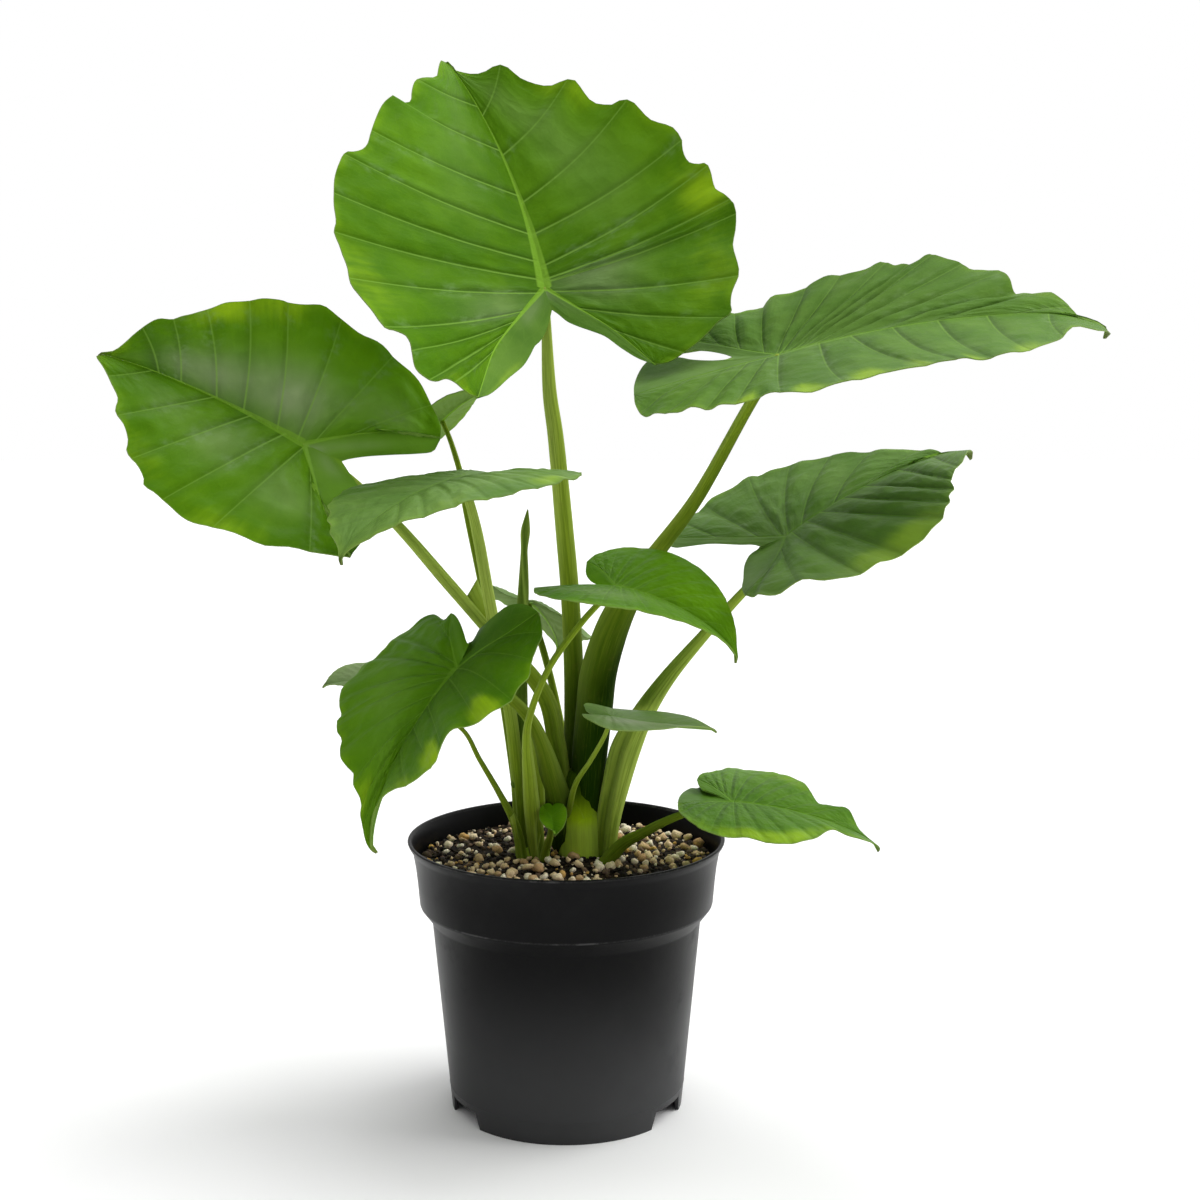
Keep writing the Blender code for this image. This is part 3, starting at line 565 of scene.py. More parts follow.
# %% Measured margins
OUTLINES = {
    "top": (
        ([(-527, 360), (-522, 386, -6), (-511, 411, 1), (-500, 433, 12), (-497, 463, 12),
          (-510, 500, -10), (-509, 527, -16), (-498, 551, -18), (-474, 562, -13), (-419, 559, 1),
          (-392, 558, 10), (-364, 565, 21), (-348, 592, 4), (-341, 612, -16), (-318, 631, -13),
          (-272, 642), (-219, 657, -2), (-161, 672, -10), (-118, 670, -4), (-65, 663, 5),
          (11, 666, 6), (60, 677, -1), (86, 681, -3), (117, 670), (182, 667, -1), (242, 657, -1),
          (303, 642, -1), (359, 613, 3), (389, 596, 9), (406, 578, 11), (419, 548, -5),
          (439, 517, -11), (472, 490, -6), (521, 465, -2), (588, 425), (656, 376, 9),
          (689, 338, 23), (698, 324, 29), (695, 309, -9), (700, 282, -22), (714, 255, -18),
          (752, 235, -6), (793, 209, 3), (817, 183, 9), (842, 139), (866, 95, -18), (892, 75, -9),
          (924, 54), (1000, 3)],
         [(-527, 360), (-507, 319), (-467, 273), (-408, 215), (-345, 150), (-294, 112), (-247, 82),
          (-217, 54), (-176, 28), (-128, 6), (-89, -9, 12)]),
        ([(-412, 276), (-420, 316, -6), (-411, 363, -3), (-393, 416, -3), (-364, 464),
          (-340, 501, 1), (-325, 540, -9), (-291, 544, -4), (-258, 553), (-233, 565),
          (-202, 584, -1), (-176, 595, -2), (-132, 597, -1), (-86, 596), (-47, 599, 1),
          (-4, 613, 4), (29, 624, 3), (62, 632, 4), (94, 631, 6), (120, 622, 5), (141, 609),
          (160, 596, -7), (188, 594, -2), (227, 596, 8), (252, 591, 15), (264, 569, -2),
          (281, 549, -13), (305, 541, -9), (336, 542, -2), (360, 550, 4), (386, 547, 7),
          (413, 537, 9), (436, 516, 2), (455, 497, -5), (477, 483, -6), (514, 471, 2),
          (537, 463, 10), (557, 448, 14), (568, 425, 8), (569, 402, -6), (584, 374, -9),
          (600, 353, -12), (624, 339, -8), (667, 331, 6), (691, 325, 16), (706, 308, 15),
          (712, 282, 4), (717, 249, -8), (733, 221, -8), (756, 196, -7), (786, 175, -5),
          (818, 163, 4), (841, 153, 13), (853, 141, 16), (862, 119, 10), (864, 90, -4),
          (876, 54, -12), (903, 23, -10), (927, 6, -10), (958, -4), (1000, 3)],
         [(-412, 276), (-389, 250), (-360, 224), (-306, 187), (-248, 151), (-208, 110), (-179, 77),
          (-148, 47), (-112, 25), (-89, 9)])),
    "left": (
        ([(-485, 441), (-456, 458, -3), (-410, 475), (-330, 503), (-262, 524, 1), (-212, 548, -1),
          (-153, 569, -3), (-82, 575, 1), (-21, 584, 1), (64, 604), (150, 625, -3), (219, 622, -2),
          (287, 603), (379, 575), (434, 564, -3), (458, 530, -1), (511, 490, 1), (587, 449, -1),
          (615, 393, -1), (672, 331, 1), (738, 282), (767, 212, -1), (824, 154, -1), (906, 77),
          (1000, 3)],
         [(-485, 441), (-484, 339), (-449, 223), (-393, 137), (-331, 78), (-252, 24),
          (-186, -17, 13)]),
        ([(-481, 369), (-446, 431, 4), (-373, 492, 1), (-294, 549, 2), (-210, 586, 4),
          (-127, 590, -2), (-27, 606, 4), (69, 589, -3), (161, 596), (234, 603, 3), (279, 594, 4),
          (363, 542, -2), (431, 519, 2), (492, 487, 2), (535, 453), (612, 397, 1), (668, 336),
          (726, 277, -1), (767, 243, -2), (808, 227, 4), (838, 189, 2), (865, 134, 1),
          (891, 72, -2), (925, 23), (1000, 3)],
         [(-481, 369), (-489, 333), (-490, 283), (-441, 232), (-348, 157), (-267, 94), (-211, 45),
          (-186, 17)])),
    "right_upper": (
        ([(-301, 408), (-270, 434, 11), (-238, 452, 8), (-190, 473, 4), (-143, 487, 7),
          (-111, 492, 7), (-82, 495, -5), (-45, 500, -13), (-12, 508, -5), (11, 517, 19),
          (32, 520, 23), (55, 518, 4), (80, 514, -10), (113, 513, -6), (162, 511, 5),
          (210, 505, 10), (240, 497, 3), (285, 484, -9), (325, 475, -4), (356, 471, 16),
          (377, 466, 17), (404, 449, -13), (433, 441, -10), (471, 431, -9), (493, 430, 18),
          (513, 423, 29), (534, 406, 14), (555, 386, 5), (586, 357, 7), (603, 333, -7),
          (615, 314, -18), (649, 285, -2), (686, 252, 26), (699, 229, 20), (707, 203, 2),
          (714, 166, -30), (734, 146, -26), (767, 124, -13), (784, 118, 6), (801, 111, 25),
          (820, 94, 15), (840, 73, 10), (861, 47, 1), (884, 14, -18), (909, -6, -2), (934, -28),
          (1000, 3)],
         [(-301, 408), (-311, 352), (-305, 285), (-279, 268), (-251, 266), (-221, 253),
          (-187, 219), (-153, 169), (-129, 118)]),
        ([(-433, -47), (-432, 18, -9), (-421, 86, -25), (-402, 130, -32), (-374, 164, -11),
          (-336, 205, -5), (-302, 236, -10), (-269, 258, 15), (-242, 281, 4), (-216, 304, -13),
          (-186, 324), (-131, 357, -4), (-84, 379, -7), (-60, 390, 9), (-32, 406, 15), (6, 439, 3),
          (60, 486, -17), (96, 499, -5), (136, 505, 8), (161, 509, 7), (198, 517, -9),
          (229, 518, -2), (263, 516, -1), (302, 511, 2), (340, 507, 1), (391, 505, -1),
          (428, 509, 9), (452, 515, 4), (493, 521, -16), (527, 512, -1), (568, 491, -1),
          (613, 458, -9), (681, 382, -11), (739, 301, -11), (774, 234, 14), (801, 196, 25),
          (840, 162, 13), (891, 128), (1000, 3)],
         [(-433, -48), (-431, -122), (-419, -193), (-401, -248), (-381, -279), (-355, -283),
          (-313, -257), (-280, -227), (-249, -184), (-196, -130), (-153, -99),
          (-129, -118, -10)])),
    "right_middle": (
        ([(-311, 440), (-206, 506), (-89, 567, 7), (9, 600, 6), (90, 615, 10), (154, 605),
          (222, 590, -4), (268, 582, 9), (301, 569, 15), (324, 546, -6), (368, 514, -4),
          (427, 480, 1), (484, 445, 4), (546, 390, -3), (595, 349, 4), (637, 303, 1),
          (676, 257, -5), (720, 215, 4), (770, 154, -1), (818, 91), (853, 43, 5), (871, 5, -3),
          (898, -41), (1000, 3)],
         [(-311, 439), (-342, 391), (-339, 349), (-304, 324), (-250, 288), (-204, 243),
          (-148, 144), (-119, 97), (-110, 51)]),
        ([(-464, 261), (-468, 319, -13), (-461, 358, 3), (-459, 394, -6), (-450, 433, -15),
          (-429, 461, -19), (-392, 474, -9), (-348, 480, 14), (-313, 505, 13), (-284, 567, -10),
          (-242, 606, -8), (-152, 619, -5), (-38, 614, 9), (53, 638, -1), (150, 662, -7),
          (220, 656, -1), (294, 646, -10), (349, 616, -5), (414, 578, -7), (433, 554, -2),
          (496, 515, -10), (533, 458, -2), (577, 421), (648, 363, 3), (719, 314), (1000, 3)],
         [(-464, 260), (-421, 190), (-354, 109), (-251, -16), (-177, -75), (-139, -82),
          (-116, -73), (-110, -51, 19)])),
    "front_left": (
        ([(-408, 398), (-375, 446, -4), (-319, 503, -6), (-279, 534, -6), (-218, 567, 3),
          (-160, 602, 5), (-111, 642, -4), (-69, 672, -10), (-26, 686, -2), (22, 701, -1),
          (75, 717, -11), (127, 711, -8), (184, 684, 1), (247, 653, -7), (295, 610, -4),
          (329, 569, 11), (365, 550, 13), (424, 547, 7), (477, 560, -10), (538, 550, -11),
          (602, 501, -10), (658, 410, -13), (693, 305), (730, 217, 3), (777, 132, 6),
          (825, 80, 13), (877, 63, 11), (917, 69, 5), (1000, 3)],
         [(-408, 398), (-424, 319), (-423, 245), (-412, 169), (-386, 86), (-336, 6),
          (-286, -102, 1), (-256, -227, 6), (-208, -242, 7), (-145, -44, 34)]),
        ([(-262, 313), (-243, 334, -10), (-218, 363, -23), (-223, 412, -4), (-221, 449, 11),
          (-199, 486, 14), (-163, 521, 13), (-91, 551, -4), (-4, 572, 7), (76, 574, -7),
          (137, 585, -7), (195, 607, 9), (256, 615, -3), (324, 621, 7), (385, 606, 14),
          (439, 564, 5), (485, 499, -14), (530, 473, 8), (571, 427, 3), (592, 376, -11),
          (635, 350, 4), (674, 309, 6), (700, 238, -4), (708, 201, -10), (747, 174, 2),
          (773, 136, -2), (796, 104, -8), (855, 76, -1), (911, 50), (1000, 3)],
         [(-262, 313), (-258, 269), (-235, 208), (-193, 134), (-152, 72), (-145, 43)])),
    "right_low": (
        ([(-239, 333, -1), (-214, 422, 7), (-155, 534, -1), (-88, 656, -1), (-33, 738, 10),
          (23, 767, 11), (85, 738, -2), (184, 670, 1), (282, 621, 2), (378, 552, 2), (440, 483, 5),
          (476, 421, 5), (508, 334, -2), (542, 250, -12), (563, 223, -17), (618, 210, -5),
          (682, 218, 2), (723, 219, 13), (757, 197, 11), (796, 125, -2), (828, 67, -8),
          (863, 35, -5), (912, 7), (1000, 3)],
         [(-239, 329, 1), (-231, 258), (-217, 192), (-197, 138)]),
        ([(-354, 57, 1), (-350, 189, -9), (-328, 295, -12), (-289, 386, -7), (-237, 462, -3),
          (-205, 502, -6), (-143, 546, -3), (-93, 569, -4), (-31, 581, -2), (73, 587, 4),
          (134, 604, 1), (196, 624, -4), (287, 630, -4), (378, 598, -6), (438, 546, -3),
          (502, 474, -8), (547, 396, -3), (585, 325, 8), (624, 282, 13), (673, 259, 2),
          (721, 250, -3), (786, 229, -2), (832, 207, 1), (1000, 3)],
         [(-354, 53, 1), (-346, -122, 3), (-318, -334, 19), (-279, -384, 37), (-239, -398, 36),
          (-197, -139, 37)])),
    "tiny": (
        ([(-597, 483, 4), (-336, 572, 4), (46, 578, -1), (376, 512, -1), (704, 367, -2),
          (834, 236), (1000, 3)],
         [(-599, 483, 4), (-699, 302, 2), (-684, 147), (-574, 99)]),
        ([(-692, 268, 5), (-566, 396, 3), (-231, 465), (143, 463, -1), (498, 314), (666, 144, 1),
          (780, 3, 1), (1000, 3)],
         [(-692, 268, 5), (-791, 71, 2), (-729, -35, -1), (-574, -99, 2)])),
}

# %% The thirteen leaves
LEAVES = {
    "top": leaf(
        (-13, 38, 494), (-81, 147, 640), (.09, -.78, .62), (-5, 14, -2), (18, 27), -6, twist=-5,
        sweep=22, pleat=(1.2, 1.2), pucker=.9, lines=(1, 1), dry=.15,
        veins=([(-.62, .038), (-.45, .083), (-.33, .138), (-.23, .198), (-.05, .306), (.03, .406),
                (.1, .481), (.21, .569), (.37, .664), (.56, .772), (.75, .867)],
               [(-.6, .048), (-.3, .133), (-.05, .221), (.02, .351), (.03, .378), (.08, .451),
                (.21, .524), (.34, .642), (.54, .757), (.71, .88)]),
        pale=((-1, 5.5, .93, .9, .8), (-1, 3.2, .9, .8, .5), (1, 5, .95, 1, .5),
              (1, 1, .9, 1.2, .5), (-1, 9, .95, .6, .6)),
        waxed=((-1, 3.6, .25, 1, .45), (1, 4.3, .2, .8, .35), (1, 10, .4, 2, .12),
               (-1, 9, .5, 2.4, .22)),
        dusk=((-1, 9, .5, 2.5, -.35), (1, 10, .5, 2, -.15), (1, 2, .5, 2.5, .22),
              (1, 6, .85, 3, .1))),
    "left": leaf(
        (-153, -8, 403), (-274, 4, 454), (.16, -.81, .57), (-9, 24, 0), (19, 14), 38, twist=-19,
        sweep=13, pleat=(1.6, 1.8), pucker=1.4, lines=(.75, .8),
        veins=([(-.6, 0), (-.43, 0), (-.23, .093), (-.03, .331), (.09, .479), (.26, .627),
                (.44, .767), (.73, .9)],
               [(-.57, 0), (-.35, .1), (-.09, .256), (.03, .406), (.13, .541), (.3, .627),
                (.43, .722), (.6, .797), (.7, .867)]),
        pale=((-1, 6.5, .95, 1, .9), (-1, 5, .97, .5, .6), (1, 4, .95, .8, .5),
              (1, 6, .95, .8, .5)),
        waxed=((-1, 6.6, .25, 1.6, .62), (-1, 4.4, .3, 1.2, .75), (-1, 8, .35, 1, .3),
               (-1, 2, .5, 1, .3), (1, 5.5, .4, .6, .35), (1, 3.5, .5, .6, .3),
               (1, 7.2, .5, .8, .2)),
        dusk=((-1, 3, .5, 4, -.26), (-1, 1.5, .5, 2, -.3), (1, 4, .5, 5, -.2))),
    "right_upper": leaf(
        (120, -47, 455), (306, -36, 464), (-.03, -.22, .97), (25, 29, 3), (-2, 8, -7), -16,
        twist=9, sweep=5, pleat=(3.2, 2), hook=75, lines=(.35, .6), bloom=.15,
        veins=([(-.6, .073), (-.4, .143), (-.15, .201), (-.02, .293), (.005, .363), (.025, .454),
                (.045, .501), (.07, .546), (.105, .614), (.165, .709), (.3, .767), (.45, .827),
                (.69, .88)],
               [(-.6, .068), (-.32, .138), (-.21, .216), (-.08, .268), (.003, .341), (.12, .439),
                (.21, .549), (.33, .586), (.46, .632), (.6, .702), (.78, .807)]),
        pale=((-1, 4.25, .96, .28, 1.1), (-1, 5.5, .95, .26, 1.3), (-1, 6.35, .95, .22, 1.2),
              (-1, 7.1, .95, .25, 1), (-1, 8.7, .95, .28, 1), (-1, 10, .95, .35, .9),
              (1, 12, .95, .5, .5)),
        dusk=((1, 4, .4, 4, .4), (1, 9, .4, 3, .3), (-1, 5, .4, 5, .12))),
    "right_middle": leaf(
        (129, -18, 350), (245, 30, 392), (-.21, -.31, .93), (12, 27, 2), (4, 18), 14, twist=-4,
        sweep=-22, pleat=(1.6, 2.6), pucker=.7, lines=(.25, .7), bloom=.27,
        veins=([(-.6, .113), (-.25, .241), (-.05, .396), (.01, .509), (.09, .612), (.28, .714),
                (.48, .835), (.64, .892)],
               [(-.5, .035), (-.23, .145), (.03, .281), (.12, .391), (.2, .521), (.33, .576),
                (.45, .634), (.63, .679), (.8, .744)]),
        pale=((-1, 4.4, .92, 1.1, 1), (-1, 3.4, .95, .7, .7)),
        dusk=((-1, 2.2, .5, 1.6, -.35), (1, 4, .5, 4, -.15))),
    "left_middle": leaf(
        (-58, -51, 387), (-117, -120, 345), (-.31, -.29, .9), (28, 22, 25), (5, 3), 31, twist=-4,
        sweep=6, width=(.97, .96), lobe=(1.04, 1.02), spread=.06, notch=.12, scallop=(1.6, 2.2),
        lines=(.2, .25), bloom=.25,
        pale=((1, 4, .9, 1, .8), (1, 8, .9, 1, .4))),
    "front_left": leaf(
        (-61, -57, 278), (-101, -120, 188), (-.62, -.49, .62), (15, 22, -42), (23, 14), 51,
        sweep=34, pleat=(1.2, 1.8), pucker=.8, lines=(.45, .35),
        veins=([(-.55, .073), (-.22, .173), (0, .316), (.06, .414), (.23, .529), (.36, .591),
                (.48, .692), (.66, .855)],
               [(-.5, .09), (-.1, .243), (.01, .338), (.03, .504), (.05, .599), (.16, .702),
                (.27, .815), (.39, .882), (.53, .942)]),
        pale=((1, 3.7, .92, .45, 1.6), (1, 5.7, .9, .5, 1.6), (1, 7, .95, .4, .7),
              (-1, 8, .9, .8, .6)),
        waxed=((-1, 4, .5, 4, .12),),
        dusk=((1, 1.2, .3, 2.2, .5), (1, 4.5, .2, 2, .35), (1, 7, .3, 1, .4),
              (-1, 4.5, .5, 6, -.32))),
    "centre": leaf(
        (29, -65, 327), (95, -94, 288), (.35, -.37, .86), (31, 23, 26), (14, 11), 23, young=True,
        sweep=-22, width=(.93, .9), lobe=(.55, .93), notch=.15, scallop=(.4, .4), pleat=(.5, .3),
        pucker=.35, lines=(.3, .35),
        waxed=((-1, 4, .5, 5, .28),),
        dusk=((1, 9.5, .5, 3, -.4), (1, 5, .95, 4, -.3), (-1, 9, .5, 3, -.3))),
    "right_low": leaf(
        (98, -37, 196), (182, -50, 170), (.28, -.16, .95), (22, 13, 9), (7, 10), 29, young=True,
        sweep=-13, pleat=(.5, .4), pucker=.3, lines=(.35, .35), bloom=.08,
        pale=((-1, 5, .9, 3, .5), (1, 7, .9, 2, .5), (-1, 7, .92, 2, .8))),
    "back_left": leaf(
        (-79, 74, 413), (-49, 59, 430), (-.39, .25, .89), (27, 19, 20), (13, 12), 33, young=True,
        scallop=(.3, .3), pleat=(.3, .3), pucker=.2, lines=(.2, .1)),
    "back": leaf(
        (-24, 60, 301), (-8, 111, 260), (.46, .47, .75), (28, 19, 17), (3, 8), 47,
        width=(.8, 1.02), lobe=(.6, 1), scallop=(.6, .6), pleat=(.4, .4), lines=(.1, .1),
        bloom=.55,
        dusk=((1, 5, .5, 9, .35), (-1, 5, .5, 9, .35))),
    "left_low": leaf(
        (-112, 8, 260), (-146, 0, 257), (-.03, -.25, .97), (14, 15, 10), (13, 12), 34, young=True,
        scallop=(.3, .3), pleat=(.2, .2), pucker=.2, lines=(.2, .1), bloom=.75),
    "narrow": leaf(
        (27, -57, 251), (87, -58, 242), (.15, .04, .99), (-8, 6, 19), (7, 11), 30, young=True,
        width=(.97, .97), lobe=(.52, .53), scallop=(.2, .2), pleat=(.1, .1), pucker=.1,
        lines=(.3, .04), bloom=.6,
        waxed=((-1, 6, .5, 3, .5),),
        dusk=((-1, 5, .5, 9, -.3), (1, 5, .5, 9, -.3))),
    "tiny": leaf(
        (-8, -29, 185), (-6, -42, 176.5), (-.08, -.62, .78), (0, 17, 11), (14, 4), 26, young=True,
        pleat=(.1, .1), pucker=.1, hook=20, lines=(.1, .05), dry=.9),
}
for name, blade in LEAVES.items():
    blade["measured"] = OUTLINES.get(name)
print(len(LEAVES), "leaves,", len(OUTLINES), "with margins of their own")

# %% [markdown]
# ## From the flat drawing to a bent blade
# The rows of the mesh are laid along the veins, from the ribs out to where each vein ends, so that
# pleats, scallops and vein lines all follow the rows. A bent blade is worked out in its own space
# first: the midrib turns down along its length, and each half rises from it and curls over.

# %% Rows along the veins


def half(pair, side):
    return pair[0 if side > 0 else 1]


def fitted(points, blade, side):
    """The species' drawing, stretched for one half of this leaf."""
    p = np.array(points, float)
    behind = p[:, 0] < 0
    p[:, 1] *= half(blade["width"], side)
    p[behind, 0] *= half(blade["lobe"], side)
    off_axis = behind & (p[:, 1] > 0)
    p[off_axis, 1] -= p[off_axis, 0] * blade["spread"]
    return p


def in_shares(line):
    """Places of a measured margin as shares of the midrib, and how far each is raised in metres."""
    return [(ahead / 1000, out / 1000, sum(raised) / 10 * MM) for ahead, out, *raised in line]


def outlines(blade, side):
    """The lobe's rib, the margin and the notch's edge, each from the lobe's end, flat. A third
    number says how many metres the edge is raised."""
    if blade["measured"]:
        margin, sinus = (in_shares(line) for line in half(blade["measured"], side))
        rib = np.array(LOBE_RIB) / LOBE_RIB[0] * margin[0][:2]
    else:
        deeper = blade["notch"] - .06
        sinus = [(ahead - share * deeper, out) for (ahead, out), share in zip(SINUS, SINUS_SHARES)]
        margin, sinus = ([(*place, 0) for place in fitted(line, blade, side)]
                         for line in (MARGIN, sinus))
        rib = fitted(LOBE_RIB, blade, side)
    return run_line(rib, 200), run_line(margin, 400), run_line(sinus, 200)


def rows_of(blade, side, per_vein):
    """For each row: its vein number, its place along the ribs and its place along the margin."""
    veins = [(-1, 0), *half(blade["veins"], side), (1, 1)]
    number = np.arange((len(veins) - 1) * per_vein + 1) / per_vein
    start, end = (np.interp(number, range(len(veins)), column) for column in zip(*veins))
    start[np.abs(start).argmin()] = 0
    return number, start, end


def along(line, share):
    at = np.linspace(0, 1, len(line))
    return np.stack([np.interp(share, at, column) for column in line.T], -1)


def fade(number, tip):
    """One in the middle of a leaf, nought at its lobe's end and its tip. tip is in veins."""
    return np.clip(number / 2, 0, 1) * np.clip((number.max() - number) / tip, 0, 1)


# %% [markdown]
# Between its lobe's rib and the notch a leaf has a strip with no side veins. It is a patch of its
# own, with a map of its own. On a leaf with no margin of its own, the margin also bulges between
# the veins, and each bulge is steeper on the side that faces the tip.

# %% The patches of a half leaf


def flat_patches(blade, side, per_vein, columns, size):
    """The front and lobe of one half, then the strip beside the notch. Each is its flat points, its
    rows' vein numbers and places along the ribs, how far across each column is, and how far the
    points are raised."""
    number, start, end = rows_of(blade, side, per_vein)
    lobe_rib, margin, sinus = outlines(blade, side)
    midrib = np.stack([np.clip(start, 0, 1), np.zeros_like(start)], 1)
    inner = np.where(start[:, None] < 0, along(lobe_rib, 1 + np.minimum(start, 0)), midrib)
    edge = along(margin, end)
    outward = edge[:, :2] - inner
    reach = np.linalg.norm(outward, axis=1)
    v = np.linspace(0, 1, columns) ** 1.25
    main = inner[:, None] + outward[:, None] * v[None, :, None]
    if not blade["measured"]:
        turn = math.pi * (number - np.floor(number)) ** 1.4
        swing = .65 * (1 - np.abs(np.sin(turn))) + .35 * np.cos(turn) ** 2 - .42
        bump = half(blade["scallop"], side) * MM / size * swing * fade(number, 1.3)
        bump *= .35 + .65 * ease(end, .2, .75)
        outward = outward / np.maximum(reach, 1e-9)[:, None]
        main += outward[:, None] * (bump[:, None] * ease(v, .55, 1))[..., None]
    main[..., 0] -= VEIN_BOW * np.sin(math.pi * v) * (reach * np.clip(end, .3, 1))[:, None]
    lobe = start <= 0
    notch = along(sinus, 1 + start[lobe])
    w = np.linspace(0, 1, max(5, columns // 5))
    strip = inner[lobe][:, None] + (notch[:, :2] - inner[lobe])[:, None] * w[None, :, None]
    number, start = number[:, None], start[:, None]
    return ((main, number, start, v, edge[:, 2:] * ease(v, .35, 1) ** 1.5),
            (strip, number[lobe], start[lobe], w, notch[:, 2:] * ease(w, 0, 1)))


# %% Bending
BEND_STEPS = 40
ARCH_STEPS = 24


def bent(blade, flat, side, lift=0.0):
    """Flat places to the blade's own space: x ahead, y left, z up. lift raises the surface."""
    s, t = flat[..., 0], flat[..., 1]
    front, tip, back, hook = np.radians((*blade["bends"], blade["hook"]))

    def pitch(at):
        hooked = tip * np.clip((at - .65) / .35, 0, 2) ** 2
        hooked = hooked + hook * np.clip((at - .93) / .07, 0, 1.2) ** 2
        return np.where(at >= 0, front * at + hooked, back * at)

    x, z = np.zeros_like(s), np.zeros_like(s)
    for i in range(BEND_STEPS):
        angle = pitch(s * (i + .5) / BEND_STEPS)
        x += np.cos(angle) * s / BEND_STEPS
        z -= np.sin(angle) * s / BEND_STEPS
    foot_fold, lobe_fold = blade["folds"][0], blade["folds"][1 if side > 0 else -1]
    fold = foot_fold + np.where(s < 0, (lobe_fold - foot_fold) * np.clip(-s / .4, 0, 1),
                                10 * np.clip(s, 0, 1))
    out, rise = np.zeros_like(t), np.zeros_like(t)
    for i in range(ARCH_STEPS):
        angle = np.radians(fold - blade["arch"] * t * (i + .5) / ARCH_STEPS)
        out += np.cos(angle) * t / ARCH_STEPS
        rise += np.sin(angle) * t / ARCH_STEPS
    rise = rise + lift
    angle = pitch(s)
    lean = .5 * math.radians(blade["sweep"]) * s * np.abs(s) * np.where(s >= 0, 1, .4)
    x, y, z = x + np.sin(angle) * rise, side * out + lean, z + np.cos(angle) * rise
    roll = math.radians(blade["twist"]) * np.clip(s, -1, 1)
    return np.stack([x, y * np.cos(roll) - z * np.sin(roll),
                     z * np.cos(roll) + y * np.sin(roll)], -1)


def blade_axes(blade):
    """The midrib's scale, and the turn from the blade's own space to the world."""
    tip = bent(blade, np.array([[1.0, 0.0]]), 1)[0]
    chord = (np.array(blade["tip"]) - np.array(blade["foot"])) * MM
    ahead = unit(chord)
    face = np.array(blade["face"])
    up = unit(face - ahead * (face @ ahead))
    own_ahead = unit(tip)
    own_up = unit(np.array([0, 0, 1.0]) - own_ahead * own_ahead[2])
    turn = (np.outer(ahead, own_ahead) + np.outer(np.cross(up, ahead), np.cross(own_up, own_ahead))
            + np.outer(up, own_up))
    return np.linalg.norm(chord) / np.linalg.norm(tip), turn


# %% [markdown]
# ## Making a blade
# A grid primitive has the right mesh already, rows by columns, so each half blade starts as one
# and its points are carried to their places. The halves and strips are joined, their seams merged,
# and a Solidify modifier gives the leaf its body. A vertex group says how thick it is at each
# point: paper-thin between the veins, a raised ridge underneath along each vein and the midrib.

# %% Thickness, pleats and spots
BLADE_T = .0006
DEEPEST_RIB = .0042
MIDRIB_T = .0030
LOBE_RIB_T = .0026
VEIN_T = .0012
FULL_SIZE = .15                             # a shorter leaf has thinner ribs


def thickness(size, number, start, v, reach):
    """How thick the blade is, in metres."""
    scale = min(1, size / FULL_SIZE)
    rib = np.where(start >= 0, MIDRIB_T * (1 - np.clip(start, 0, 1)) ** .8,
                   LOBE_RIB_T * (1 + start))
    rib = rib * scale + .0003
    ridge = rib * np.sqrt(np.clip(1 - (v * reach / (1.1 * rib)) ** 2, 0, 1))
    on_vein = np.abs(number - np.rint(number)) < 1e-6
    vein = np.where(on_vein, VEIN_T * scale * (1 - v) ** .7, 0)
    return BLADE_T + np.maximum(ridge, vein)


def lift_of(blade, side, size, number, v, seed):
    """Pleats and quilting between the veins, and waves along a margin that was not measured, as a
    share of the midrib's length."""
    between = np.sin(math.pi * (number - np.floor(number)))
    pleat = between ** .8 * half(blade["pleat"], side) * ease(v, 0,
                                                              .3) * (1 - .55 * ease(v, .6, 1))
    rough = [[noise.noise(Vector((row * 2.1, across * 7, seed * 5))) for across in v]
             for row in number[:, 0]]
    quilt = blade["pucker"] * np.array(rough) * between ** .7 * ease(v, .02, .15)
    lift = pleat + 2 * quilt
    if not blade["measured"]:
        wave = (1.5 * np.sin(2 * math.pi * (number * .5 + seed))
                + .8 * np.sin(2.3 * number + 9 * seed))
        wave = wave * min(1, size / .12) * half(blade["pleat"], side) / 2.6
        lift = lift + wave * ease(v, .5, 1) ** 1.5
    return lift * fade(number, 2) * MM / size


def spots(listed, side, number, v, width=.16):
    """The soft spots of one half, each round a vein and a place across."""
    total = sum(strength * bell(number - vein, spread) * bell(v - across, width)
                for spot_side, vein, across, spread, strength in listed if spot_side == side)
    return np.clip(total, -1, 1)


# %% One half blade from a grid
VEIN_MAP = 16                               # veins across the whole of the map
SIZE_MAP = 10                               # what a metre is in the map of widths
STRIP_GAP = .2                              # far apart, so that no vein is drawn on the strip
STRIP_SHARE = .2                            # how far across the leaf its looks reach
STRIP_CURL = .45                            # how far it curls down, as a share of its width
# painted grey sheen on the strip beside the notch
STRIP_SHEEN = .14


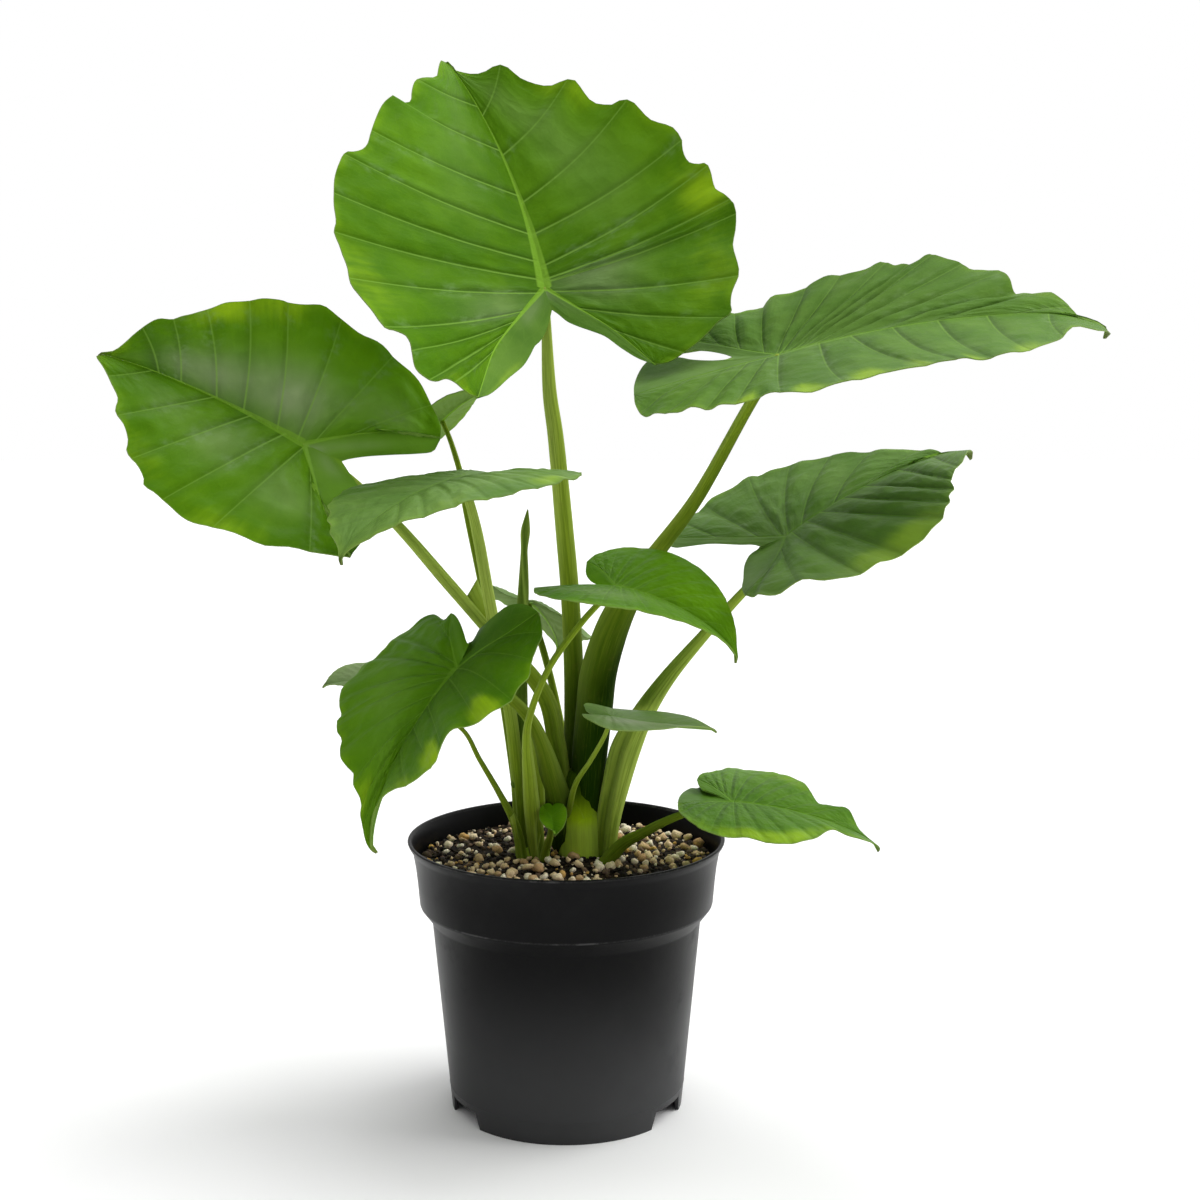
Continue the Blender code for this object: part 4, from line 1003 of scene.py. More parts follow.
def patch(name, points, values, maps):
    """A grid primitive with its points carried to points[row, column]. values are numbers on the
    points, and maps are pairs of numbers for the UV maps."""
    shape = points.shape[:2]
    bpy.ops.object.select_all(action="DESELECT")
    bpy.ops.mesh.primitive_grid_add(x_subdivisions=shape[0] - 1, y_subdivisions=shape[1] - 1,
                                    size=2, location=(0, 0, 0))
    obj = bpy.context.object
    obj.name = name
    row, column = (np.rint((place + 1) / 2 * (count - 1)).astype(int)
                   for place, count in zip(points_of(obj).T, shape))
    set_points(obj, points[row, column])
    for key, grid in values.items():
        set_values(obj, key, np.broadcast_to(grid, shape)[row, column])
    corner = np.empty(len(obj.data.loops), int)
    obj.data.loops.foreach_get("vertex_index", corner)
    obj.data.uv_layers[0].name = "along"
    for key, pair in maps.items():
        layer = obj.data.uv_layers.get(key) or obj.data.uv_layers.new(name=key)
        pair = np.stack([np.broadcast_to(grid, shape)[row, column][corner] for grid in pair], -1)
        layer.uv.foreach_set("vector", pair.astype(np.float32).ravel())
    return obj


def facing(obj, direction):
    """Turn a sheet's faces over if they point away from direction."""
    area = sum(np.array(face.normal) * face.area for face in obj.data.polygons)
    if area @ np.array(direction) < 0:
        in_edit_mode(obj, bpy.ops.mesh.flip_normals)


# %% [markdown]
# Both halves' strips end on one line, from the foot to the bottom of the notch, so the second half
# is drawn onto the line that the first one left. The half whose notch reaches the middle on its
# own side is made first.

# %% Half a blade


def make_half(name, blade, side, per_vein, columns, seed, seam):
    """Both patches of one half. seam holds the line that the notch's two edges share."""
    size, turn = blade_axes(blade)
    midrib_line, vein_line = blade["lines"]
    made = []
    for flat, number, start, v, raised in flat_patches(blade, side, per_vein, columns, size):
        is_strip = len(made) == 1
        reach = np.linalg.norm(flat[:, -1] - flat[:, 0], axis=1)[:, None] * size
        gap = np.linalg.norm(np.gradient(flat, axis=0), axis=-1) * size * per_vein
        wide, mapped, across, wax = reach, number, v, 0
        if is_strip:
            lift = -(0 if blade["measured"] else STRIP_CURL) * v ** 1.5 * reach / size
            gap, wide = gap + STRIP_GAP, reach / STRIP_SHARE
            mapped, across, wax = 3.9 + .8 * start, STRIP_SHARE * v, STRIP_SHEEN * vein_line ** 2
        else:
            lift = lift_of(blade, side, size, number, v, seed)
        own = bent(blade, flat, side, lift + raised / size)
        points = np.array(blade["foot"]) * MM + size * (own @ turn.T) + TO_ORIGIN
        if is_strip and not seam:
            seam.append(points[-1])
        elif is_strip:
            points = points + (seam[0] - points[-1])[None] * ease(start, -.4, 0)[..., None]
        values = {
            "pale": spots(blade["pale"], side, number, v),
            "bloom": blade["bloom"] + wax + spots(blade["waxed"], side, number, v, .22),
            "dusk": spots(blade["dusk"], side, number, v, .5),
            "dry": blade["dry"] * ease(start, .93, .99),
            "taper": np.where(start < 0, .72, 1) * (1 - np.abs(start)),
            "rib_line": midrib_line,
            "vein_line": vein_line,
            "thick": thickness(size, number, start, v, reach) / DEEPEST_RIB,
        }
        made.append(patch(name, points, values, {"along": (mapped / VEIN_MAP, across),
                                                 "widths": (gap * SIZE_MAP, wide * SIZE_MAP)}))
        facing(made[-1], turn @ np.array([0, 0, 1]))
    return made


# %% A whole blade


def make_blade(name, blade, seed):
    size = blade_axes(blade)[0]
    per_vein, columns = (9, 40) if size > .1 else (6, 26) if size > .05 else (4, 14)
    left_first = not blade["measured"] or blade["measured"][0][1][-1][1] >= 0
    halves, seam = [], []
    for side in (1, -1) if left_first else (-1, 1):
        own_seed = seed if side > 0 else seed + .37
        halves += make_half(name, blade, side, per_vein, columns, own_seed, seam)
    obj = joined("blade_" + name + "_leaf", halves)
    in_edit_mode(obj, lambda: bpy.ops.mesh.remove_doubles(threshold=.00003))
    weights = np.empty(len(obj.data.vertices), np.float32)
    obj.data.attributes["thick"].data.foreach_get("value", weights)
    group = obj.vertex_groups.new(name="body")
    for index, weight in enumerate(weights):
        group.add([index], float(min(1, weight)), "REPLACE")
    coat(obj, GREENS["young" if blade["young"] else "grown"], GREENS["under"])
    apply_modifier(obj, "SOLIDIFY", thickness=DEEPEST_RIB, offset=-1, vertex_group="body",
                   thickness_vertex_group=0, material_offset=1, material_offset_rim=0)
    obj.vertex_groups.clear()
    smooth(obj, 60)
    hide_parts("blade_" + name)
    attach(obj, "root")
    return obj


# %% [markdown]
# ### Leaf green
# The upper side is a deep green that is paler along the veins. Near the margin and in spots it is
# yellow-green: painted light shining through the leaf, partly yellowing. The rows of the mesh give
# every point its distance from the nearest vein, the midrib and the margin, in its own UV maps, so
# the vein lines are drawn by arithmetic and stay sharp. Painted shade lies beside the veins, and
# glossy patches with a painted sheen, a painted grey sheen and patches of painted shade and light
# lie over the green, each where its leaf has them.

# %% Blade finishes
YELLOW_GLOW_MARGIN = (.19, .38, .006)
YELLOW_GLOW_SPOT = (.34, .55, .010)
FINE_VEINS = (.17, .33, .03)
SHEEN = (.17, .31, .085)
SHEEN_GREY = (.33, .38, .235)
SIDE_VEIN = (.21, .40, .055)
MIDRIB = (.20, .40, .03)
THIN_EDGE = (.19, .27, .06)
DRY_TIP = (.11, .085, .035)


def times(factor, colour):
    return [factor * part for part in colour]


def blade_look(name, deep, light, shine=.09, under=False):
    look = new_look(name)
    vein_number, across = look.map_pair("along")
    vein_number = vein_number * VEIN_MAP
    gap, reach = (part * (1000 / SIZE_MAP) for part in look.map_pair("widths"))     # millimetres
    lines, taper, dusk = look.read("vein_line"), look.read("taper"), look.read("dusk")
    here = look.own_place()

    def on_leaf(along_it, across_it):
        return look.place(vein_number * along_it, across * across_it)

    def side(above, below):
        return below if under else above

    from_vein = look.math("ABSOLUTE", look.math("FRACT", vein_number + .5) - .5) * gap
    from_rib = across * reach
    from_margin = (1 - across) * reach
    vein = 1 - look.step(from_vein, .15, .55 + .55 * lines - .4 * across)
    shadow = 1 - look.step(from_vein, .8, 7.0)
    phase = look.math("FRACT", vein_number)
    furrow_shade = (1 - look.step(phase, .02, .20)) * look.step(phase, 0, .02) * (1 - .8 * across)
    rib = 1 - look.step(from_rib / (.45 + reach * .034 * taper * taper), .8, 1.15)
    cloud = look.noise(here, 26, 3, .6)
    streak = look.noise(on_leaf(8.125, 3), 1, 3, .6)
    network = look.cells(on_leaf(6.875, 16), 1, "DISTANCE_TO_EDGE")
    blister = look.cells(on_leaf(3, 11), 1)
    gloss_and_sheen = look.step(look.noise(on_leaf(3.25, 9), 1, 3, .6), .44, .72)
    gloss_and_sheen = gloss_and_sheen * look.step(look.noise(here, 15, 2, .5), .46, .60)
    gloss_and_sheen = gloss_and_sheen * (1 - look.step(from_vein, 2, 10)) * look.step(lines, .2, .8)
    gloss_and_sheen = gloss_and_sheen * (1 - look.step(dusk, 0, 1))
    mottle = look.step(cloud, .27, .78) * .85 + look.step(streak, .3, .75) * .15
    # yellow-green spots: painted light shining through the leaf, partly yellowing
    spot = look.step(look.read("pale") + .7 * (cloud - .5) + .4 * (streak - .5), .15, 1.15)
    body = look.layered(deep, (
        (mottle, light),
        # painted light shining through the leaf near the margin, partly yellowing
        ((1 - look.step(from_margin, .4, 6)) * .45 * look.step(cloud, .40, .6), YELLOW_GLOW_MARGIN),
        (spot * .8, YELLOW_GLOW_SPOT),
        # painted shade beside the veins and in the furrows
        (shadow * (1 - .5 * across) * lines * side(.60, .1), times(.68, deep)),
        (furrow_shade * look.step(lines, .2, .7) * side(.5, 0), times(.5, deep)),
        # painted shade in patches of a leaf, and painted light where the share is below nought
        (dusk, times(.55, deep)),
        (dusk * -1, times(1.9, light)),     # a share below nought counts as none
        ((1 - look.step(network, 0, .06)) * side(.08, .2), FINE_VEINS),
        # painted sheen in the glossy patches, which also get a coat
        (gloss_and_sheen * side(.45, 0), SHEEN),
        # painted grey sheen
        (look.read("bloom") * (.65 + .9 * (cloud - .5)) * side(1, .5), SHEEN_GREY),
        (vein * (1 - .5 * across) * lines * side(.8, .6), SIDE_VEIN),
        (rib * side(look.read("rib_line") * .9, .9), MIDRIB),
        ((1 - look.step(from_margin, .1, .6)) * .6, THIN_EDGE),
        (look.read("dry"), DRY_TIP),
    ))
    relief = .25 * look.step(from_vein, .2, 3) * look.step(from_rib, 0, 2.5)
    relief = relief + .30 * look.noise(here, 90, 3, .6) + .10 * network + .14 * streak
    relief = relief + .9 * look.noise(here, 33, 2, .5) + .35 * blister
    relief = relief * (.25 + .75 * look.step(lines, 0, .5))
    roughness = side(.38, .6) + .16 * look.noise(here, 60, 3, .6) + .4 * look.step(dusk, 0, .5)
    look.finish(Base_Color=body, Normal=look.bump(relief, side(1.4, .7)), Roughness=roughness,
                Specular_IOR_Level=shine, IOR=1.42, Coat_Weight=side(.22 * gloss_and_sheen, 0),
                Coat_Roughness=.32, Coat_IOR=1.45)
    return look.owner


GREENS = {
    "grown": blade_look("leaf green", (.056, .165, .0018), (.102, .243, .0030)),
    "young": blade_look("young leaf green", (.062, .180, .0030), (.108, .255, .0050), shine=.07),
    "under": blade_look("leaf underside", (.13, .25, .035), (.17, .29, .045), .15, under=True),
}

# %% Make the thirteen blades
for index, (name, blade) in enumerate(LEAVES.items()):
    made = make_blade(name, blade, .61 * index)
    corners = points_of(made).min(0), points_of(made).max(0)
    apart = np.abs(np.array(corners) - np.array(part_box("blade_" + name))).max()
    print("%-14s %6d triangles, box within %.1f mm of its solid" % (name, triangles(made),
                                                                    apart / MM))

# %% [markdown]
# ## Potting mix
# The mix is a solid plug of dark peat that fills the pot to a finger's width below the rim. It is
# pulled up like the pot: along the inside of the wall, then in over the top in many rings, and the
# top is roughened by moving its points up and down with a noise.

# %% The plug of mix
SOIL_EDGE_Z = .1515
SOIL_CROWN_Z = .1555
SOIL_EDGE_R = .0886
SOIL_GAP = .0005
SOIL_RINGS = 30
MIX_SIDES = 120


def soil_height(x, y):
    """Height of the mix's surface at a place measured from the pot's axis."""
    radius = math.hypot(x, y)
    level = SOIL_EDGE_Z + (SOIL_CROWN_Z - SOIL_EDGE_Z) * (1 - radius / SOIL_EDGE_R)
    rough = noise.noise(Vector((x * 70, y * 70, 3.1))) * .0012
    rough += noise.noise(Vector((x * 260, y * 260, 7.7))) * .0009
    return level + rough * min(1, (SOIL_EDGE_R - radius) / .006 + .2)


mix_bottom = top_of_base + .0003
plug = [(wall_radius(mix_bottom) - WALL - SOIL_GAP, mix_bottom),
        (wall_radius(.045) - WALL - SOIL_GAP, .045),
        (wall_radius(.080) - WALL - SOIL_GAP, .080)]
plug += [(r - WALL - SOIL_GAP, z + .0004) for r, z in collar if z < SOIL_EDGE_Z]
plug.append((collar[-2][0] - WALL - SOIL_GAP + .0009, SOIL_EDGE_Z - .0012))
plug += [(SOIL_EDGE_R * (1 - step / SOIL_RINGS) + CENTRE_R,
          SOIL_EDGE_Z) for step in range(SOIL_RINGS + 1)]
soil = pulled_up("potting_mix", [(CENTRE_R, mix_bottom)] + plug, MIX_SIDES)
merged(soil, .0003)
rough_top = points_of(soil)
top_rows = rough_top[:, 2] > SOIL_EDGE_Z - .0001
for index in np.nonzero(top_rows)[0]:
    x, y = rough_top[index, :2] - TO_ORIGIN[:2]
    rough_top[index, 2] = soil_height(x, y)
set_points(soil, rough_top)
smooth(soil, 50)
print("potting mix", triangles(soil), "triangles")

# %% [markdown]
# ### Peat
# Wet peat and bark fines are almost black with brown flecks, and rough enough to have no shine.

# %% Peat finish
peat = new_look("dark peat")
here = peat.own_place()
fleck = peat.noise(here, 420, 4, .7)
clod = peat.noise(here, 90, 4, .6)
shade = peat.mix(peat.step(clod, .35, .7), (.005, .003, .002), (.028, .016, .009))
shade = peat.mix(peat.step(fleck, .58, .74) * .6, shade, (.14, .085, .050))
peat.finish(Base_Color=shade, Roughness=.82 + .12 * clod, Specular_IOR_Level=.25,
            Normal=peat.bump(clod * .6 + fleck * .4, 1.6))
coat(soil, peat.owner)
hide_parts("soil")
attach(soil, "root")

# %% [markdown]
# ## Grit and crumbs
# Loose grains lie on the mix: pale pumice and darker bark. Each kind starts as a few small spheres
# pushed out of round by a noise. The grains are copies of those, turned and sized at random from a
# fixed seed, and laid so that they do not crowd into each other or into the stems.

# %% Grain shapes
GRAIN_SHAPES = 6


def grain_shapes(kind, roughness, flatness, seed):
    shapes = []
    for index in range(GRAIN_SHAPES):
        bpy.ops.mesh.primitive_uv_sphere_add(segments=8, ring_count=5, radius=1,
                                             location=(0, 0, 0))
        grain = bpy.context.object
        grain.name = kind + "_%d" % index
        ball = points_of(grain)
        offset = Vector((seed, 3 * index, 0))
        for point in ball:
            point *= 1 + roughness * noise.noise(Vector(point) * 1.3 + offset)
        ball *= np.array((1.15, 1, 1 - flatness))
        set_points(grain, ball)
        set_values(grain, "tone", np.zeros(len(ball)))
        shapes.append(grain)
    return shapes


# %% Laying grains
STEM_DISCS = [(8.5, 2, 13), (-21.5, -4.5, 8), (23, -4, 5), (19, -17, 4.5), (-14, -15, 3.1),
              (-26, -12, 3.3), (-19, -9, 3.4), (-26, -3, 4), (-26, 6, 2.2)]     # mm
INSIDE_R = .0890


def spread_places(rng, count, sizes, density, sink, others=()):
    """(x, y, z, radius) for grains over the mix, from the pot's axis, kept from crowding."""
    laid = list(others)
    fresh = []
    tries = 0
    while len(fresh) < count and tries < count * 40:
        tries += 1
        radius = sizes[0] + (sizes[1] - sizes[0]) * rng.random() ** 1.6
        reach = (INSIDE_R - radius) * math.sqrt(rng.random())
        turn = rng.random() * ONCE_ROUND
        x, y = reach * math.cos(turn), reach * math.sin(turn)
        if rng.random() > density(x, y):
            continue
        if any(math.hypot(x - sx * MM, y - sy * MM) < sr * MM + .5 * radius for sx, sy,
               sr in STEM_DISCS):
            continue
        if laid:
            near = np.array(laid)
            if (np.hypot(near[:, 0] - x, near[:, 1] - y) < .88 * (near[:, 3] + radius)).any():
                continue
        z = soil_height(x, y) + radius * (sink[0] + (sink[1] - sink[0]) * rng.random())
        laid.append((x, y, z, radius))
        fresh.append((x, y, z, radius))
    return fresh


def lay_grains(name, shapes, places, rng):
    grains = []
    for index, (x, y, z, radius) in enumerate(places):
        model = shapes[index % len(shapes)]
        grain = bpy.data.objects.new(name, model.data.copy())
        bpy.context.scene.collection.objects.link(grain)
        spin, tip = rng.random() * ONCE_ROUND, (rng.random() - .5) * 1.4
        c, s, ct, st = math.cos(spin), math.sin(spin), math.cos(tip), math.sin(tip)
        spun, tipped = ((c, -s, 0), (s, c, 0), (0, 0, 1)), ((ct, 0, st), (0, 1, 0), (-st, 0, ct))
        turn = np.array(spun) @ np.array(tipped)
        stretch = np.array((1, .65 + .5 * rng.random(), .65 + .4 * rng.random()))
        set_points(grain, points_of(grain) * stretch * radius @ turn.T + (x, y, z) + TO_ORIGIN)
        set_values(grain, "tone", np.full(len(grain.data.vertices), rng.random()))
        grains.append(grain)
    for model in shapes:
        bpy.data.objects.remove(model)
    made = joined(name, grains)
    smooth(made)
    print(name, len(grains), "grains,", triangles(made), "triangles")
    return made


# %% [markdown]
# Pumice lies thickest at the front and the sides, with a patch of bare mix at the front right, and
# the darker bark shows most behind and to the left of the stems.

# %% Pumice and bark
rng = np.random.default_rng(11)


def pumice_density(x, y):
    bare = math.exp(-(((x - .050) / .022) ** 2 + ((y + .042) / .020) ** 2))
    shaded = math.exp(-(((x + .050) / .026) ** 2 + ((y - .020) / .030) ** 2))
    return max(0, 1 - .93 * bare - .8 * shaded)


big = spread_places(rng, 185, (.0020, .0036), pumice_density, (.35, .85))
small = spread_places(rng, 360, (.0008, .0018), pumice_density, (.4, 1.2), big)
pumice = lay_grains("pumice_grit", grain_shapes("pumice", .52, .10, 1.7), big + small, rng)
dark = spread_places(rng, 380, (.0016, .0031), lambda x, y: 1, (-.1, .4), big + small)
dark += spread_places(rng, 420, (.0008, .0016), lambda x, y: 1, (.1, .9), big + small + dark)
bark = lay_grains("bark_crumbs", grain_shapes("bark", .9, .35, 5.3), dark, rng)

# %% [markdown]
# ### Pumice and bark
# Pumice is chalky, cream to tan with a few rusty grains, and pitted with tiny holes, which get
# painted shade. Bark is a dull dark brown. The tone that each grain was given picks its colour.

# %% Grain finishes
chalk = new_look("pumice")
here = chalk.own_place()
tone = chalk.read("tone")
pits = chalk.cells(here, 1500)
stain = chalk.noise(here, 260, 3, .6)
shade = chalk.mix(chalk.step(tone, .0, .45), (.52, .30, .14), (.90, .68, .42))
shade = chalk.mix(chalk.step(tone, .45, .95), shade, (1, .90, .72))
shade = chalk.mix((1 - chalk.step(tone, .03, .09)) * .8, shade, (.76, .46, .12))
shade = chalk.mix(chalk.step(stain, .52, .75) * .55, shade, (.30, .17, .08))
# painted shade in the pits
shade = chalk.mix((1 - chalk.step(pits, .05, .30)) * .45, shade, (.22, .12, .06))
chalk.finish(Base_Color=shade, Roughness=.8 + .15 * stain, Specular_IOR_Level=.2,
             Normal=chalk.bump(chalk.step(pits, 0, .5) * .6 + stain * .5, .5))
husk_brown = new_look("bark crumb")
here = husk_brown.own_place()
tone = husk_brown.read("tone")
fibre = husk_brown.noise(here, 700, 3, .7)
shade = husk_brown.mix(tone ** 3, (.006, .004, .003), (.20, .13, .085))
shade = husk_brown.mix(husk_brown.step(fibre, .5, .75) * .5, shade, (.15, .10, .065))
husk_brown.finish(Base_Color=shade, Roughness=.7 + .2 * fibre, Specular_IOR_Level=.3,
                  Normal=husk_brown.bump(fibre, .6))
for grains, finish in ((pumice, chalk), (bark, husk_brown)):
    coat(grains, finish.owner)
    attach(grains, "root")

# %% [markdown]
# ## Stalks
# A petiole is a juicy round stalk. Low down it opens into a sheath: a groove with two thin wings,
# where the next leaf came out. Curves with a bevel could draw the tube, but not the groove, so a
# grid is wrapped round the measured line instead, and its rings are shaped where it opens.

# %% Where the stalks run
# x, y, z and radius in mm from the pot's axis, from the base up
PETIOLES_MM = {
    "right_upper": [(12, 1, 183, 9.4), (14, -1, 213, 10.3), (17, -1, 243, 10.8),
                    (20, -3, 268, 10.7), (29, -6, 297, 9.6), (41, -10, 320, 7.2),
                    (52, -15, 338, 5.1), (77, -26, 374, 4), (104, -40, 425, 3.3)],
    "top": [(3, 11, 183, 5.4), (4, 12, 210, 5.8), (4.5, 12, 259, 5.9), (2.5, 13, 308, 5.6),
            (-1, 16, 350, 5.4), (-6, 22, 403, 4.8), (-10, 27, 433, 4.2), (-12, 34, 473, 2.9)],
    "left": [(0, 2, 183, 4.6), (-6, -1, 225, 5.4), (-15, -4, 257, 5), (-50, -7, 298, 3.8),
             (-71, -9, 323, 3.7), (-97, -7, 353, 3.2), (-126, -1, 381, 2.6)],
    "right_middle": [(23, -4, 148, 5.6), (26, -5, 177, 6.6), (30.5, -7, 199, 7.6),
                     (37, -10, 224, 8.4), (47, -11, 245, 6.5), (61, -12, 266, 4.7),
                     (79, -14, 288, 3.5), (99, -16, 311, 2.8), (117, -18, 331, 2.5)],
    "left_middle": [(-26, -3, 150, 4), (-28, -6, 189, 3.9), (-31, -10, 227, 3.9),
                    (-35, -14, 258, 3.7), (-44, -26, 313, 3.5), (-49, -38, 349, 3.2),
                    (-53, -46, 370, 2.7)],
    "front_left": [(-3, 0, 168, 8), (-5.5, -8, 190, 8.4), (-9, -17, 208, 6.9),
                   (-13.5, -26, 227, 4.9), (-20, -34, 244, 3.8), (-32, -42, 259, 3.2),
                   (-45, -50, 269, 2.6)],
    "centre": [(-17.5, -9, 153, 4.3), (-19.5, -14, 179, 5), (-21, -28, 207, 4.2),
               (-22, -43, 237, 2.5), (-18, -51, 256, 2), (-11, -56, 274, 1.9), (-3, -59, 288, 1.9),
               (12, -62, 308, 1.8), (24, -65, 321, 1.7)],
    "left_low": [(-26, -12, 152, 3.3), (-30, -13, 175, 2.7), (-39, -16, 195, 1.9),
                 (-51, -18, 217, 1.5), (-61, -18, 235, 1.3), (-82, -9, 245, 1.2),
                 (-102, 2, 250, 1.2)],
    "narrow": [(2, -11, 186, 1.9), (6, -20, 203, 1.6), (14.5, -32, 219, 1.4),
               (22.5, -45, 236, 1.3)],
    "right_low": [(19, -17, 148, 4.5), (33, -19, 165, 3.9), (47, -22, 174, 3), (59, -28, 182, 2.5),
                  (73, -33, 189, 2.1), (86, -36, 193, 1.8)],
    "tiny": [(-14, -15, 149, 3.1), (-12, -19, 162, 2.7), (-9, -25, 173, 2)],
    "back_left": [(-26, 6, 150, 2.2), (-32, 12, 197, 2.1), (-39, 18, 246, 2.1), (-49, 28, 300, 2),
                  (-62, 44, 359, 1.8), (-65, 52, 378, 1.9), (-72, 64, 399, 1.6)],
    "back": [(4, 12, 172, 2.5), (0, 20, 208, 2.5), (-7, 32, 243, 2.3), (-15, 46, 272, 2.2)],
}
SPEAR_MM = [(-29, -5, 212, 3.9), (-27.5, -1, 238, 4.3), (-27.5, 5, 268, 3.9), (-26.5, 6, 295, 3.6),
            (-25.4, 6, 312, 3.5), (-24.9, 6, 328, 2.7), (-24.7, 6, 339, 2.1), (-24, 6, 349, 2.8),
            (-23.4, 6, 355, 2.1), (-22.6, 6, 363, .4)]
# Sheaths: the way the groove faces, where it starts and ends along the stalk, and how deep it is
SHEATHS = {
    "right_upper": ((-.85, -.52), .0, .40, .18),
    "top": ((.85, -.5), .0, .34, .2),
    "left": ((-.3, -.95), .0, .36, .7),
    "right_middle": ((-.62, -.78), .0, .47, .9),
    "left_middle": ((-.8, -.6), .0, .30, .6),
    "front_left": ((.75, -.65), .0, .30, .6),
    "centre": ((.6, -.8), .0, .22, .9),
    "left_low": ((.5, -.85), .0, .25, .7),
    "right_low": ((-.2, .97), .0, .35, .7),
    "back_left": ((-.3, .95), .0, .2, .6),
}
# Greens: how yellow-green each stalk is at its base, a quarter up, half up and at its top; the
# lowest numbers are partly painted shade where leaves hang over a stalk
TINTS_AND_SHADE = {"right_upper": (0, .01, .44, .72), "top": (.03, .08, .62, 1.0),
         "left": (.18, .48, 1.0, 1.0),
         "right_middle": (.72, .90, .98, .80), "left_middle": (.45, .55, .80, 1.0),
         "front_left": (.03, .08, .35, .50), "centre": (.85, .75, .75, .70),
         "right_low": (.50, .45, .45, .45), "left_low": (.55, .60, .60, .60),
         "narrow": (.50, .70, .80, .80)}
# Painted light on one side of a stalk and painted shade on the other: where round it the light is,
# in radians from its groove, and by how much
LIT = {"right_upper": (-.4, .26), "top": (-2.0, .22), "left_middle": (1.2, .15),
       "front_left": (-.6, .06)}
STALK_SIDES = 28

# %% Rings along a line


def carried_frames(line, towards):
    """For each place on a line, two directions across it, the first facing towards."""
    ahead = np.gradient(line[:, :3], axis=0)
    ahead /= np.linalg.norm(ahead, axis=1)[:, None]
    across = np.empty_like(ahead)
    now = np.array((*towards, 0), float)
    for i, forward in enumerate(ahead):
        now = unit(now - forward * (now @ forward))
        across[i] = now
    return ahead, across, np.cross(ahead, across)


CAP_STEPS = 5


def capped(line, ahead):
    """The line with a few shrinking places added past each end, so that its rings close."""
    turn = np.linspace(0, math.pi / 2, CAP_STEPS + 1)[1:]
    ends = []
    for place, way in ((line[0], -ahead[0]), (line[-1], ahead[-1])):
        extra = np.repeat(place[None], CAP_STEPS, 0)
        extra[:, :3] += way * (place[3] * .7 * np.sin(turn))[:, None]
        extra[:, 3] *= np.maximum(np.cos(turn), .001)
        ends.append(extra)
    return np.vstack([ends[0][::-1], line, ends[1]])


def wrapped(name, line, towards, outline, values):
    """A closed tube round a line. outline(share, turn) scales each ring's radius."""
    ahead, across, beside = carried_frames(line, towards)
    line = capped(line, ahead)
    across, beside = (np.pad(part, ((CAP_STEPS, CAP_STEPS), (0, 0)), "edge")
                      for part in (across, beside))
    turn = np.linspace(-math.pi, math.pi, STALK_SIDES + 1)
    steps = np.linalg.norm(np.diff(line[:, :3], axis=0), axis=1)
    length = np.concatenate([[0], np.cumsum(steps)])
    share = (length / length[-1])[:, None]
    radius = line[:, 3:4] * outline(share, turn)
    ring = (np.cos(turn)[:, None] * across[:, None] + np.sin(turn)[:, None] * beside[:, None])
    points = line[:, None, :3] + radius[..., None] * ring
    grids = {key: work(share, turn) for key, work in values.items()}
    uv = ((turn / math.pi + 1) / 2, length[:, None] * 10)
    tube = patch(name, points, grids, {"along": uv})
    merged(tube, .000004)
    return tube


# %% One stalk
# Sheath wings that stand free of their stalks: where each joins, and its loose edge, in mm
WINGS_MM = {
    "left": ([(-59, -7, 312), (-51, -8, 300), (-40, -8, 285), (-24, -6, 268)],
             [(-52.3, -4, 323), (-47, -5, 308), (-39, -6, 295), (-25, -5, 275)]),
    "centre": ([(-20.5, -30, 237), (-20.5, -24, 224), (-20, -19, 212), (-19.5, -16, 196),
                (-19, -13, 180),
                (-19, -12, 167), (-18.6, -11.5, 156)],
               [(-18.2, -31, 239), (-16.2, -26, 226), (-13.8, -20.5, 212), (-12.4, -18, 197),
                (-12.8, -14, 181), (-15.5, -13.5, 168), (-18, -12.5, 156)]),
    "left_low": ([(-33.5, -15, 181), (-31.5, -15, 175), (-30, -14, 168)],
                 [(-31, -17.5, 184), (-29.8, -17, 178), (-28.5, -15.5, 168)]),
}
WING_T = .0006


def wing(joint, edge):
    """A thin sheet between two lines, with a highlight painted along its loose edge."""
    rows, columns = 30, 9
    inner, outer = (run_line(line, rows) * MM + TO_ORIGIN for line in (joint, edge))
    across = np.linspace(0, 1, columns)[None, :, None]
    sheet = inner[:, None] + (outer - inner)[:, None] * across
    sheet[..., 1] -= .0012 * np.sin(math.pi * across[..., 0])
    down, over = np.linspace(0, 1, rows)[:, None], across[..., 0]
    grids = {"rim": ease(over, .6, 1), "deep": 0, "tone": .9 - .3 * down}
    uv = (over * .12, down * .4)
    made = patch("wing", sheet, grids, {"along": uv})
    facing(made, (0, -1, 0))
    apply_modifier(made, "SOLIDIFY", thickness=WING_T, offset=0)
    return made


def mark_flanks(obj):
    """How far each point faces sideways: light shows through a stalk there, painted as a paler
    colour.
    """
    normals = np.empty(len(obj.data.vertices) * 3, np.float32)
    obj.data.vertex_normals.foreach_get("vector", normals)
    set_values(obj, "flank", np.abs(normals.reshape(-1, 3)[:, 0]) ** 3)


